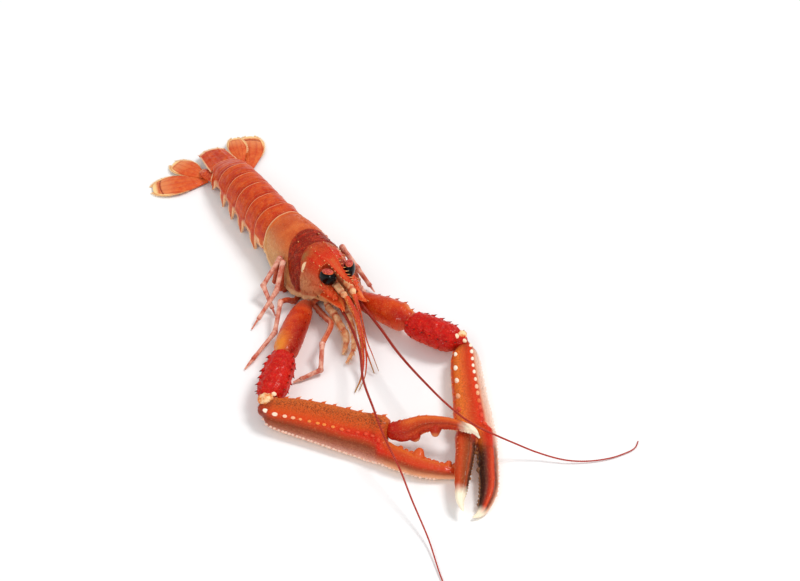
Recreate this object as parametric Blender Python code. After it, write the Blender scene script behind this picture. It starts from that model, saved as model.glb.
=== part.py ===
"""Norway lobster (Nephrops norvegicus), a still life-size model that lies on a flat floor.

Every length is in millimetres and becomes metres in add_mesh. The body frame has the head towards -Y, the tail
towards +Y, the animal's left side at +X and the floor at Z = 0; Y = 0 is the carapace's rear edge on the back.
Neighbouring pieces keep GAP between their faces. The last step moves the whole model so that the bottom centre of
its box is the origin.
"""

import math

import bmesh
import bpy
import numpy as np
from mathutils import Matrix, Vector

MM = 0.001
GAP = 0.3
MODEL = "norway_lobster"
SIDES = {"right": -1.0, "left": 1.0}

# Carapace
CARAPACE_LENGTH = 60.0
FLAP_THICKNESS = 1.3
BELLY_LEVEL = 9.5
GROOVE_DEPTH = 1.0
GROOVE_WIDTH = 2.6
ROSTRUM_LENGTH = 22.0
ROSTRUM_HALF_WIDTH = 4.2
ROSTRUM_LEVEL = 34.2
ROSTRUM_ROOT = 10.0
ROSTRUM_TEETH = ((0.30, 1.7), (0.45, 2.2), (0.60, 2.4), (0.75, 2.0))
# y, turn from the back to a margin, lean forward, length, radius
CARAPACE_SPIKES = ((-41.0, 0.13, 1.2, 1.2, 0.8), (-46.0, 0.14, 1.2, 1.5, 0.8), (-51.0, 0.15, 1.4, 1.8, 0.9),
                   (-56.0, 0.16, 1.6, 2.0, 0.9), (-51.5, 0.34, 1.2, 1.6, 0.8), (-56.0, 0.33, 1.6, 2.6, 1.0),
                   (-30.0, 0.22, 1.0, 1.5, 0.9), (-48.5, 0.60, 1.0, 1.3, 0.8), (-61.2, 0.70, 3.5, 3.6, 1.2))
HALF_WIDTH_KNOTS = ((0, 15.4), (-12, 17.6), (-28, 19.0), (-42, 18.6), (-54, 15.2), (-60, 12.2), (-66, 8.5))
TOP_KNOTS = ((0, 31.6), (-10, 33.8), (-24, 35.2), (-33, 34.4), (-42, 36.0), (-54, 36.4), (-66, 35.5))
MARGIN_KNOTS = ((0, 8.0), (-8, 5.0), (-20, 3.8), (-40, 3.8), (-50, 6.0), (-58, 9.2), (-66, 13.0))
FRONT_KNOTS = ((0.0, 56.5), (0.2, 61.5), (0.4, 64.5), (0.55, 62.0), (0.7, 58.8), (0.85, 58.2), (1.0, 60.0))

# Abdomen and tail fan
SOMITE_ENDS = (0.0, 11.5, 25.5, 40.0, 54.0, 68.0, 86.0)
ABDOMEN_HALF_WIDTHS = (14.8, 16.0, 16.2, 15.8, 15.2, 14.6, 13.6)
ABDOMEN_TOPS = (30.4, 30.2, 29.2, 28.2, 26.6, 24.0, 15.5)
PLEURON_TIPS = (0.25, 0.05, 0.4, 0.45, 0.45, 0.55)
PLEURON_FLOORS = (9.0, 0.0, 0.0, 0.0, 0.0, 1.5)
TAIL_BEND = 0.0011
STERNITE_LEVEL = 6.5
PLEURON_TOP = 15.0
SOMITE_TUCK = 0.8
SOMITE_SHARES = (0.0, 0.26, 0.52, 0.6, 0.68, 1.0)
SOMITE_GROOVE = 0.45
GROOVE_SHARE = 0.6
SWIMMERET_ROWS = ((-4.0, 6.4, 7.8, 1.3), (0.0, 7.2, 4.6, 2.0), (4.0, 8.0, 2.6, 1.9), (6.6, 8.4, 1.8, 0.7))
SWIMMERET_HALF_THICKNESS = 0.45
TELSON_SPIKE = 2.6
PADDLE_KEELS = (-0.5, 0.0, 0.5)
KEEL_HEIGHT = 0.4
TELSON_LENGTH = 26.5

# Head
EYE_PLACE = (7.6, -66.5, 31.5)
EYE_RADII = (3.5, 5.3, 5.6)
EYE_TURN = -37.0

# Underside and limbs
STERNUM_STATIONS = ((-8, 7.0, 5.0), (-14, 8.6, 3.0), (-30, 9.2, 2.6), (-50, 8.6, 3.0), (-58, 7.4, 4.0))
STERNUM_TOP = BELLY_LEVEL - GAP
LEG_RADIUS = 1.8
KNEE_RADIUS = 1.4
KNEE_DROP = 2.0
KNEE_REACH = 1.6
KNEE_SPAN = 3.3
KNEE_LIMIT = 0.1
LEG_UP = (0.0, 1.0, 0.1)
CLAW_ROLLS = {"right": 32.0, "left": 14.0}

# Spines, teeth and tubercles, all cones of few sides
SPIKE_SIDES = 5
SPIKE_TIP = 0.16
SPIKE_ROOT = 1.1
SPIKE_VARIATION = 0.16
RANDOM = np.random.default_rng(17)

COLOURS = {
    "shell": ((0.62, 0.12, 0.03), 0.38),
    "carapace": ((0.66, 0.22, 0.08), 0.36),
    "carpus": ((0.50, 0.02, 0.01), 0.32),
    "claw": ((0.60, 0.16, 0.04), 0.36),
    "limb": ((0.62, 0.22, 0.12), 0.40),
    "fin": ((0.70, 0.20, 0.07), 0.40),
    "feeler": ((0.40, 0.04, 0.02), 0.35),
    "eye": ((0.01, 0.01, 0.01), 0.12),
    "under": ((0.60, 0.34, 0.20), 0.45),
}


def clear_scene():
    for item in list(bpy.data.objects):
        bpy.data.objects.remove(item, do_unlink=True)


def collection(name):
    made = bpy.data.collections.new(name)
    bpy.context.scene.collection.children.link(made)
    return made


def material(name):
    if name in bpy.data.materials:
        return bpy.data.materials[name]
    colour, roughness = COLOURS[name]
    made = bpy.data.materials.new(name)
    made.use_nodes = True
    shader = made.node_tree.nodes["Principled BSDF"]
    shader.inputs["Base Color"].default_value = (*colour, 1.0)
    shader.inputs["Roughness"].default_value = roughness
    shader.inputs["Metallic"].default_value = 0.0
    return made


def add_mesh(name, solid, finish, home):
    """Makes an object of points in millimetres and faces, with its faces turned outwards."""
    points, faces = solid
    mesh = bpy.data.meshes.new(name)
    mesh.from_pydata([tuple(p * MM) for p in np.asarray(points, float)], [], faces)
    shape = bmesh.new()
    shape.from_mesh(mesh)
    bmesh.ops.recalc_face_normals(shape, faces=shape.faces)
    shape.to_mesh(mesh)
    shape.free()
    made = bpy.data.objects.new(name, mesh)
    made.data.materials.append(material(finish))
    home.objects.link(made)
    made.data.set_sharp_from_angle(angle=math.radians(50))
    return made


def slab(outer, inner):
    """Closed skin over two grids of points of one size, both split along the same diagonals."""
    rows, columns = outer.shape[:2]
    points = np.concatenate([outer.reshape(-1, 3), inner.reshape(-1, 3)])
    under = rows * columns
    faces = []
    for i in range(rows - 1):
        for j in range(columns - 1):
            a = i * columns + j
            b, c, d = a + 1, a + columns + 1, a + columns
            faces += [(a, b, c), (a, c, d), (under + a, under + c, under + b), (under + a, under + d, under + c)]
    rim = [j for j in range(columns)]
    rim += [i * columns + columns - 1 for i in range(1, rows)]
    rim += [(rows - 1) * columns + j for j in range(columns - 2, -1, -1)]
    rim += [i * columns for i in range(rows - 2, 0, -1)]
    for a, b in zip(rim, rim[1:] + rim[:1]):
        faces += [(b, a, under + a), (b, under + a, under + b)]
    return points, faces


def loft(rings):
    """Closed skin through rings of points of one count, with a face over each end ring."""
    rings = np.asarray(rings, float)
    count, around = rings.shape[:2]
    faces = []
    for i in range(count - 1):
        for j in range(around):
            k = (j + 1) % around
            a, b, c, d = i * around + j, i * around + k, (i + 1) * around + k, (i + 1) * around + j
            faces += [(a, b, c, d)]
    faces.append(tuple(range(around)))
    faces.append(tuple(range((count - 1) * around, count * around)))
    return rings.reshape(-1, 3), faces


def unit(v):
    v = np.asarray(v, float)
    return v / np.linalg.norm(v)


def circle(sides, start=0.0):
    angle = start + np.arange(sides) * 2 * math.pi / sides
    return np.stack([np.cos(angle), np.sin(angle)], 1)


def limb_rings(path, section, roll=0.0, up=(0.0, 0.0, 1.0), hand=1.0, carried=False):
    """Rings across a path of rows x, y, z, half width, half thickness and, where given, a shift to the inner side.

    roll turns the section in degrees; hand -1 mirrors the section and the shift; carried takes each ring's upward
    direction from the ring before it, for a path that bends steeply.
    """
    path = np.asarray(path, float)
    places = path[:, :3]
    shifts = path[:, 5] if path.shape[1] > 5 else np.zeros(len(path))
    along = np.gradient(places, axis=0)
    rings = []
    turn = math.radians(roll)
    for place, step, (wide, thick), shift in zip(places, along, path[:, 3:5], shifts):
        step = unit(step)
        side = unit(np.cross(step, up))
        rise = np.cross(side, step)
        if carried:
            up = rise
        across = side * math.cos(turn) + rise * math.sin(turn)
        upward = rise * math.cos(turn) - side * math.sin(turn)
        sideways = hand * (section[:, :1] * wide + shift)
        rings.append(place + sideways * across + section[:, 1:] * thick * upward)
    return np.array(rings)


def limb(path, section, **shape):
    return loft(limb_rings(path, section, **shape))


def on_floor(solid):
    """Presses what lies under the floor flat onto it."""
    points, faces = solid
    points = np.array(points, float)
    points[:, 2] = np.maximum(points[:, 2], 0.0)
    return points, faces


def smooth(at, knots):
    """Value of a smooth curve through the knots, which are rows of place and value."""
    places, values = np.array(sorted(knots), float).T
    at = min(max(at, places[0]), places[-1])
    slopes = np.gradient(values, places)
    i = min(max(int(np.searchsorted(places, at)) - 1, 0), len(places) - 2)
    h = places[i + 1] - places[i]
    t = (at - places[i]) / h
    return (
        values[i] * (2 * t**3 - 3 * t**2 + 1)
        + slopes[i] * h * (t**3 - 2 * t**2 + t)
        + values[i + 1] * (3 * t**2 - 2 * t**3)
        + slopes[i + 1] * h * (t**3 - t**2)
    )


# Spines and other small solids


def taken(shape):
    """Points and faces of a bmesh, which is freed."""
    shape.verts.index_update()
    points = np.array([vertex.co for vertex in shape.verts])
    faces = [tuple(vertex.index for vertex in face.verts) for face in shape.faces]
    shape.free()
    return points, faces


def ball(centre, radii, turn):
    """Sphere stretched to three radii, then turned about the vertical by degrees."""
    shape = bmesh.new()
    bmesh.ops.create_uvsphere(shape, u_segments=12, v_segments=8, radius=1.0)
    bmesh.ops.scale(shape, verts=shape.verts, vec=radii)
    bmesh.ops.rotate(shape, verts=shape.verts, matrix=Matrix.Rotation(math.radians(turn), 3, "Z"))
    bmesh.ops.translate(shape, verts=shape.verts, vec=centre)
    return taken(shape)


def spike(place, direction, length, radius):
    """A cone that stands out of a surface at place, with its root sunk in."""
    direction = unit(direction)
    sunk = SPIKE_ROOT * radius
    depth = length + sunk
    centre = np.asarray(place, float) + direction * (depth / 2 - sunk)
    turn = Vector((0, 0, 1)).rotation_difference(Vector(direction)).to_matrix()
    shape = bmesh.new()
    bmesh.ops.create_cone(shape, cap_ends=True, segments=SPIKE_SIDES, radius1=radius, radius2=radius * SPIKE_TIP,
                          depth=depth)
    bmesh.ops.rotate(shape, verts=shape.verts, matrix=turn)
    bmesh.ops.translate(shape, verts=shape.verts, vec=centre)
    return taken(shape)


def varied():
    return 1.0 + RANDOM.uniform(-SPIKE_VARIATION, SPIKE_VARIATION)


def skin_place(rings, share, around):
    """Point, outward and forward direction on a skin of rings, at a share of its length and a section number."""
    centres = rings.mean(axis=1)
    steps = np.linalg.norm(np.diff(centres, axis=0), axis=1)
    lengths = np.concatenate([[0], np.cumsum(steps)])
    row = np.interp(share * lengths[-1], lengths, np.arange(len(rings)))
    i = min(int(row), len(rings) - 2)
    section = rings[i] + (rings[i + 1] - rings[i]) * (row - i)
    j = math.floor(around)
    first, second = section[j % len(section)], section[(j + 1) % len(section)]
    place = first + (second - first) * (around - j)
    forward = unit(centres[i + 1] - centres[i])
    outward = place - section.mean(axis=0)
    return place, unit(outward - forward * (outward @ forward)), forward


def spike_row(rings, first, last, count, around, length, radius, lean=0.6):
    """Spikes along a skin of rings between two shares of its length, leaning forward and varied in size."""
    made = []
    for share in np.linspace(first, last, count):
        place, outward, forward = skin_place(rings, share, around)
        size = varied()
        made.append((place, outward + forward * lean, length * size, radius * size))
    return made


def stud(body, spikes, finish, home):
    """Fuses spikes, rows of place, direction, length and radius, to the body."""
    fuse(body, [add_mesh(f"{body.name}_spike_{i}", spike(*row), finish, home) for i, row in enumerate(spikes)])


# Carapace


def groove_place(rise):
    """Y of the cervical groove at a share of the height: far back on top, further forward low on the flank."""
    return -33.0 - 13.0 * (1 - rise) ** 1.8


def carapace_point(y, turn):
    """Point of the carapace at station y; turn runs from -1 at the right margin over the back to 1."""
    half, top, low = smooth(y, HALF_WIDTH_KNOTS), smooth(y, TOP_KNOTS), smooth(y, MARGIN_KNOTS)
    angle = abs(turn) * math.pi / 2
    rise = max(0.0, math.cos(angle)) ** 0.78
    out = math.sin(angle) ** 0.92
    dip = GROOVE_DEPTH * math.exp(-(((y - groove_place(rise)) / GROOVE_WIDTH) ** 2))
    x = math.copysign((half - dip) * out, turn)
    return np.array([x, y, low + (top - low - dip) * rise])


def front_edge(turn):
    """Y of the front edge: the eye's notch below the rostrum, the cheek reaching forward, the margin behind."""
    rise = max(0.0, math.cos(abs(turn) * math.pi / 2)) ** 0.78
    return -smooth(rise, FRONT_KNOTS)


def carapace_shell():
    rows, columns = 17, 23
    outer, inner = np.empty((rows, columns, 3)), np.empty((rows, columns, 3))
    for i in range(rows):
        for j in range(columns):
            turn = -1 + 2 * j / (columns - 1)
            y = front_edge(turn) * (i / (rows - 1))
            outer[i, j] = carapace_point(y, turn)
            margin = carapace_point(y, math.copysign(1.0, turn))
            inside = (abs(margin[0]) - FLAP_THICKNESS) * min(1.0, abs(turn) * 1.12)
            level = BELLY_LEVEL if abs(turn) < 0.95 else outer[i, j, 2] + 0.4
            inner[i, j] = (math.copysign(inside, turn), y, level)
            if abs(turn) < 1e-9:
                inner[i, j, 0] = 0.0
    return slab(outer, inner)


def rostrum_row(share):
    """Place, half width and half thickness of the rostrum, a flat pointed blade, a little upturned."""
    y = ROSTRUM_ROOT - CARAPACE_LENGTH - (ROSTRUM_LENGTH + ROSTRUM_ROOT) * share
    wide = ROSTRUM_HALF_WIDTH * (1 - share) ** 0.8 + 0.35
    lift = ROSTRUM_LEVEL - 2.4 * math.sin(math.pi * share) + 1.8 * share**2
    return 0.0, y, lift, wide, 1.5 - 0.9 * share


def rostrum_teeth(side):
    teeth = []
    for share, length in ROSTRUM_TEETH:
        _, y, lift, wide, _ = rostrum_row(share)
        size = varied()
        teeth.append(((side * (wide - 0.3), y, lift), (side * 0.55, -1.0, 0.45), length * size, 0.8 * size))
    return teeth


def carapace_outward(y, turn):
    along = carapace_point(y - 0.5, turn) - carapace_point(y + 0.5, turn)
    around = carapace_point(y, turn + 0.01) - carapace_point(y, turn - 0.01)
    return unit(np.cross(along, around))


def carapace_spikes(side):
    spikes = []
    for y, turn, lean, length, radius in CARAPACE_SPIKES:
        outward = carapace_outward(y, side * turn)
        size = varied()
        direction = outward + np.array([0.0, -lean, 0.0])
        spikes.append((carapace_point(y, side * turn), direction, length * size, radius * size))
    return spikes


def build_carapace(home):
    body = add_mesh("carapace", carapace_shell(), "carapace", home)
    rows = [rostrum_row(share) for share in np.linspace(0, 1, 8)]
    pieces = [add_mesh("rostrum_blade", limb(rows, circle(8)), "carapace", home)]
    spikes = [row for side in SIDES.values() for row in rostrum_teeth(side) + carapace_spikes(side)]
    pieces += [add_mesh(f"carapace_spike_{i}", spike(*row), "carapace", home) for i, row in enumerate(spikes)]
    fuse(body, pieces)


def sternum_half_width(y):
    stations = sorted((place, half) for place, half, _ in STERNUM_STATIONS)
    return float(np.interp(y, *zip(*stations)))


def sternum_block():
    """The floor of the chest, from which the limbs grow."""
    section = np.array([(-1, 0.4), (-0.8, 0), (0.8, 0), (1, 0.4), (1, 1), (-1, 1)], float)
    rings = []
    for y, half, low in STERNUM_STATIONS:
        rings.append([(x * half, y, low + z * (STERNUM_TOP - low)) for x, z in section])
    return loft(rings)


# Abdomen


def tail_point(s, x, z):
    """Place s behind the carapace, x to the left and z up, on a tail that bends a little to the left."""
    heading = TAIL_BEND * s
    return np.array([TAIL_BEND * s * s / 2 + x * math.cos(heading), s - x * math.sin(heading), z])


def somite(index):
    """A ring of the abdomen: an arched back, and on each side a pleuron that narrows to a point on the floor."""
    start, end = SOMITE_ENDS[index - 1] + GAP, SOMITE_ENDS[index]
    half = np.interp((start, end), SOMITE_ENDS, ABDOMEN_HALF_WIDTHS)
    top = np.interp((start, end), SOMITE_ENDS, ABDOMEN_TOPS)
    tip, floor = PLEURON_TIPS[index - 1], PLEURON_FLOORS[index - 1]
    rows, columns = len(SOMITE_SHARES), 19
    outer, inner = np.empty((rows, columns, 3)), np.empty((rows, columns, 3))
    for i, u in enumerate(SOMITE_SHARES):
        tuck = SOMITE_TUCK * max(0.0, 1 - u / 0.3)
        dip = SOMITE_GROOVE * (u == GROOVE_SHARE)
        width = half[0] + (half[1] - half[0]) * u - tuck
        height = top[0] + (top[1] - top[0]) * u - tuck
        for j in range(columns):
            turn = -1 + 2 * j / (columns - 1)
            angle = abs(turn) * math.pi / 2
            arch = max(0.0, math.cos(angle)) ** 0.76
            z = floor + (height - dip - floor) * arch
            x = (width - dip * arch) * math.sin(angle) ** 0.82
            drop = max(0.0, (PLEURON_TOP - z) / (PLEURON_TOP - floor))
            narrow = drop**1.5 * 0.94
            share = u * (1 - narrow) + tip * narrow
            s = start + (end - start) * share
            side = math.copysign(1.0, turn)
            outer[i, j] = tail_point(s, side * x, z)
            edge = abs(turn) > 0.72
            x_in = x - 0.9 if edge else (width - 2.0) * min(1.0, abs(turn) / 0.72)
            z_in = z + 0.25 if abs(turn) == 1 else (max(z, 0) if edge else min(STERNITE_LEVEL, height - 3))
            if edge and z > STERNITE_LEVEL:
                z_in = STERNITE_LEVEL
            inner[i, j] = tail_point(s, side * x_in if turn else 0.0, z_in)
    return slab(outer, inner)


def swimmeret(index, side):
    """A flat lobe that trails back and down from the belly of a somite."""
    middle = (SOMITE_ENDS[index - 1] + SOMITE_ENDS[index]) / 2
    rows = [(*tail_point(middle + s, side * x, z), half, SWIMMERET_HALF_THICKNESS)
            for s, x, z, half in SWIMMERET_ROWS]
    return limb(rows, circle(6))


def telson_point(u, v):
    """Point of the telson's upper face: u from its root to its rear edge, v from the right edge to the left."""
    width = 11.4 - 2.2 * u
    s = SOMITE_ENDS[-1] + GAP + TELSON_LENGTH * u * (1 - 0.07 * v * v * u)
    ridge = KEEL_HEIGHT * (abs(v) == 0.5)
    return tail_point(s, v * width, 9.6 - 5.4 * u + 1.6 * (1 - v * v) + ridge)


def telson():
    rows, columns = 7, 9
    outer, inner = np.empty((rows, columns, 3)), np.empty((rows, columns, 3))
    for i, u in enumerate(np.linspace(0, 1, rows)):
        for j, v in enumerate(np.linspace(-1, 1, columns)):
            outer[i, j] = telson_point(u, v)
            depth = 1.1 + KEEL_HEIGHT * (abs(v) == 0.5) + 3.4 * (1 - u) * (1 - v * v)
            inner[i, j] = telson_point(u, v * 0.97) - np.array([0, 0, depth])
    return slab(outer, inner)


def paddle(root, tip, width, rise, thickness):
    """A flat blade from root to tip with a rounded end, a little arched over its length."""
    root, tip = np.asarray(root, float), np.asarray(tip, float)
    along = tip - root
    side = unit(np.cross(along, (0, 0, 1)))
    rows, columns = 8, 9
    outer, inner = np.empty((rows, columns, 3)), np.empty((rows, columns, 3))
    for i in range(rows):
        u = i / (rows - 1)
        half = width / 2 * (0.30 + 0.70 * math.sin(math.pi / 2 * min(1.0, u / 0.62)))
        half *= math.sqrt(max(0.0, 1 - max(0.0, (u - 0.62) / 0.40) ** 2))
        for j in range(columns):
            v = -1 + 2 * j / (columns - 1)
            place = root + along * u + side * half * v
            place[2] += rise * math.sin(math.pi * u) + 0.7 * (1 - v * v)
            inner[i, j] = place - np.array([0, 0, thickness])
            keel = KEEL_HEIGHT if v in PADDLE_KEELS and 0 < i < rows - 1 else 0.0
            outer[i, j] = place + np.array([0, 0, keel])
    return slab(outer, inner)


TAIL_BLADES = {
    "uropod_exopod_right": ((-13.6, 90.2, 2.4), (-43.4, 101.2, 1.0), 19.0),
    "uropod_endopod_right": ((-9.8, 95.0, 2.6), (-19.0, 117.6, 1.4), 15.5),
    "uropod_exopod_left": ((22.6, 87.2, 2.4), (38.6, 116.4, 1.0), 19.0),
    "uropod_endopod_left": ((18.6, 92.0, 5.4), (26.6, 115.6, 5.0), 12.0),
}


def build_tail(home):
    for index in range(1, 7):
        body = add_mesh(f"abdomen_{index}", on_floor(somite(index)), "shell", home)
        if index < 6:
            fuse(body, [add_mesh(f"swimmeret_{index}_{name}", swimmeret(index, side), "limb", home)
                        for name, side in SIDES.items()])
    corners = [(telson_point(0.98, v) - np.array([0, 0, 0.5]), (0.25 * v, 1.0, -0.05)) for v in (-0.95, 0.95)]
    stud(add_mesh("telson", telson(), "shell", home),
         [(place, direction, TELSON_SPIKE, 0.6) for place, direction in corners], "shell", home)
    for name, (root, tip, width) in TAIL_BLADES.items():
        add_mesh(name, on_floor(paddle(root, tip, width, 0.8, 1.0)), "fin", home)


# Head

STALK = ((4.3, -62.0, 31.4, 1.5, 1.6), (5.3, -63.0, 31.4, 2.4, 2.4))
ANTENNA_BASE = ((7.6, -64.7, 14.2, 2.4, 2.2), (6.6, -71.0, 14.8, 2.4, 2.1), (6.3, -76.8, 15.4, 1.5, 1.5))
ANTENNAL_SCALE = ((9.6, -65.2, 18.4, 3.0, 1.0), (7.8, -70.0, 18.4, 3.8, 0.9), (6.6, -76.0, 18.4, 3.6, 0.8),
                  (6.9, -81.0, 18.4, 2.2, 0.7), (7.7, -85.2, 18.4, 0.5, 0.5))
SCALE_SPINE = ((11.6, -65.6, 18.6), (5.2, -2.6, 2.8))
ANTENNULES = {
    "right": ((-3.2, -60.3, 25.0, 2.0), (-3.2, -69.0, 24.6, 2.1), (-3.0, -77.4, 23.4, 1.9), (-2.6, -80.2, 22.4, 1.1),
              (-5.9, -96.0, 20.0, 0.9), (-10.7, -109.4, 15.0, 0.8), (-16.8, -121.3, 8.0, 0.6),
              (-21.9, -127.2, 4.0, 0.5), (-29.5, -132.7, 1.0, 0.3)),
    "left": ((3.2, -60.3, 25.0, 2.0), (3.2, -69.0, 24.6, 2.1), (3.2, -77.4, 23.4, 1.9), (2.4, -80.2, 22.0, 0.9),
             (-0.8, -89.6, 19.0, 0.6), (-4.8, -98.6, 16.0, 0.55), (-9.3, -110.3, 11.5, 0.5),
             (-10.7, -117.1, 8.0, 0.4), (-12.1, -126.0, 2.0, 0.3)),
}
MAXILLIPEDS = {
    "right": ((-5.2, -59.2, 6.3, 1.8), (-7.6, -66.0, 6.6, 2.3), (-9.4, -75.0, 9.2, 2.4), (-10.8, -84.0, 9.0, 2.1),
              (-11.6, -93.6, 6.0, 2.0), (-16.0, -99.5, 3.6, 1.4), (-19.0, -101.8, 1.6, 0.5)),
    "left": ((4.4, -59.2, 6.3, 1.8), (2.4, -67.0, 7.0, 2.3), (-1.2, -78.0, 10.6, 2.3), (-5.8, -88.6, 11.0, 2.0),
             (-9.2, -98.6, 8.6, 1.8), (-15.8, -107.2, 5.4, 1.2), (-21.8, -110.0, 2.4, 0.5)),
}


def mirrored(rows, side):
    """The rows with their first column, x, on the given side."""
    rows = np.array(rows, float)
    rows[:, 0] *= side
    return rows


def build_head(home):
    for name, side in SIDES.items():
        eye, faces = ball(EYE_PLACE, EYE_RADII, EYE_TURN)
        add_mesh(f"eye_{name}", (eye * (side, 1, 1), faces), "eye", home)
        add_mesh(f"eyestalk_{name}", limb(mirrored(STALK, side), circle(8)), "shell", home)
        scale = add_mesh(f"antennal_scale_{name}", limb(mirrored(ANTENNAL_SCALE, side), circle(8)), "shell", home)
        stud(scale, [(np.array(SCALE_SPINE[0]) * (side, 1, 1), np.array(SCALE_SPINE[1]) * (side, 1, 1), 4.6, 1.0)],
             "shell", home)
        add_mesh(f"antenna_base_{name}", limb(mirrored(ANTENNA_BASE, side), circle(8)), "limb", home)
        for title, paths in (("antennule", ANTENNULES), ("maxilliped", MAXILLIPEDS)):
            add_mesh(f"{title}_{name}", limb(rounded(paths[name]), circle(8)), "limb", home)


# Walking legs

LEG_ROOTS = {2: -47.0, 3: -39.0, 4: -30.0, 5: -21.0}
LEG_JOINTS = {
    "leg_5_right": ((-15, -22, 1.7), (-19.4, -24, 1.7), (-22.0, -25, 4.2), (-21.0, -26.5, 14), (-19.0, -27.2, 23.0),
                    (-33.6, -31.0, 10.5), (-36.3, -50, 1.2)),
    "leg_4_right": ((-15, -31, 1.7), (-19.6, -32.5, 1.7), (-22.2, -33, 4.2), (-21.4, -32.6, 14), (-19.5, -31.8, 23.6),
                    (-30.0, -41.1, 11.5), (-54.2, -52.6, 1.2)),
    "leg_3_right": ((-15, -42, 1.7), (-19.6, -45, 1.7), (-22.2, -46.6, 4.0), (-27, -48.5, 8.5), (-32.6, -50.8, 11.5),
                    (-46.4, -67.5, 6), (-74.7, -80.9, 1.2)),
    "leg_2_right": ((-11.2, -52, 1.7), (-11.6, -61, 1.8), (-12.8, -67.0, 4.0), (-14.6, -75.5, 7.8), (-16.0, -83, 11),
                    (-30.4, -97, 12), (-38.5, -108.5, 4), (-56.0, -106.5, 1.4)),
    "leg_5_left": ((15, -20.5, 1.7), (19.4, -19.5, 1.7), (22.0, -19, 4.0), (21.2, -17.5, 9), (20.0, -16, 14),
                   (22, -8, 8), (24, 0, 1.2)),
    "leg_4_left": ((15, -31.5, 1.7), (19.6, -32.5, 1.7), (22.2, -33, 4.2), (21.8, -34.5, 12), (20.9, -35.6, 20),
                   (23.2, -49.8, 12), (26.6, -64.2, 1.4)),
    "leg_3_left": ((15, -41, 1.7), (19.4, -43.5, 1.7), (21.6, -45.5, 3.6), (21.8, -47, 6.0), (22.0, -48.6, 8.4),
                   (21.5, -53, 5.0), (20.5, -58, 1.2)),
    "leg_2_left": ((12, -51, 1.7), (14.6, -56, 1.8), (16.4, -59.0, 3.4), (17.2, -61, 5.4), (17.6, -62.6, 7.4),
                   (18.8, -68, 4), (17.6, -75, 1.2)),
}


def knee_bend(before, knee, ankle):
    """Last places of the upper piece and first ones of the lower, which a sharp bend sets off by a short bridge."""
    rise, fall = unit(knee - before), unit(ankle - knee)
    turn = float(rise @ fall)
    if turn > KNEE_LIMIT:
        return [knee], [knee + fall * (GAP + LEG_RADIUS * math.sqrt(1 - turn**2))]
    out = unit(fall - turn * rise)
    upper = [knee - rise * KNEE_DROP, knee + out * KNEE_REACH / 4, knee + out * KNEE_REACH]
    lower = [knee + out * (KNEE_REACH + GAP), knee + out * KNEE_SPAN, knee + out * KNEE_SPAN + fall * KNEE_DROP]
    return upper, lower


def build_legs(home):
    section = circle(6)
    for name, joints in LEG_JOINTS.items():
        number = int(name.split("_")[1])
        side = SIDES[name.split("_")[2]]
        joints = np.array(joints, float)
        root_y = LEG_ROOTS[number]
        wall = sternum_half_width(root_y) + GAP
        before, after = knee_bend(*joints[-4:-1])
        upper = [(side * wall, root_y, 5.2, 1.6), (side * (wall + 1.4), root_y, 4.8, 1.6)]
        upper += [(*place, 1.5) for place in joints[:2]]
        upper += [(*place, LEG_RADIUS) for place in joints[2:-3]]
        upper += [(*place, KNEE_RADIUS) for place in before]
        add_mesh(f"{name}_upper", on_floor(limb(rounded(upper), section, up=LEG_UP, carried=True)), "limb", home)
        lower = [(*place, KNEE_RADIUS) for place in after] + [(*joints[-2], 1.5), (*joints[-1], 0.6)]
        add_mesh(f"{name}_lower", on_floor(limb(rounded(lower), section, up=LEG_UP, carried=True)), "limb", home)


def rounded(rows):
    """Rows of x, y, z, radius with the radius given for both half width and half thickness."""
    rows = np.array(rows, float)
    return np.concatenate([rows, rows[:, 3:4]], 1)


# Claws: widths run from the outer edge at -1 to the inner edge at 1, heights from the underside to the back ridge

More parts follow.
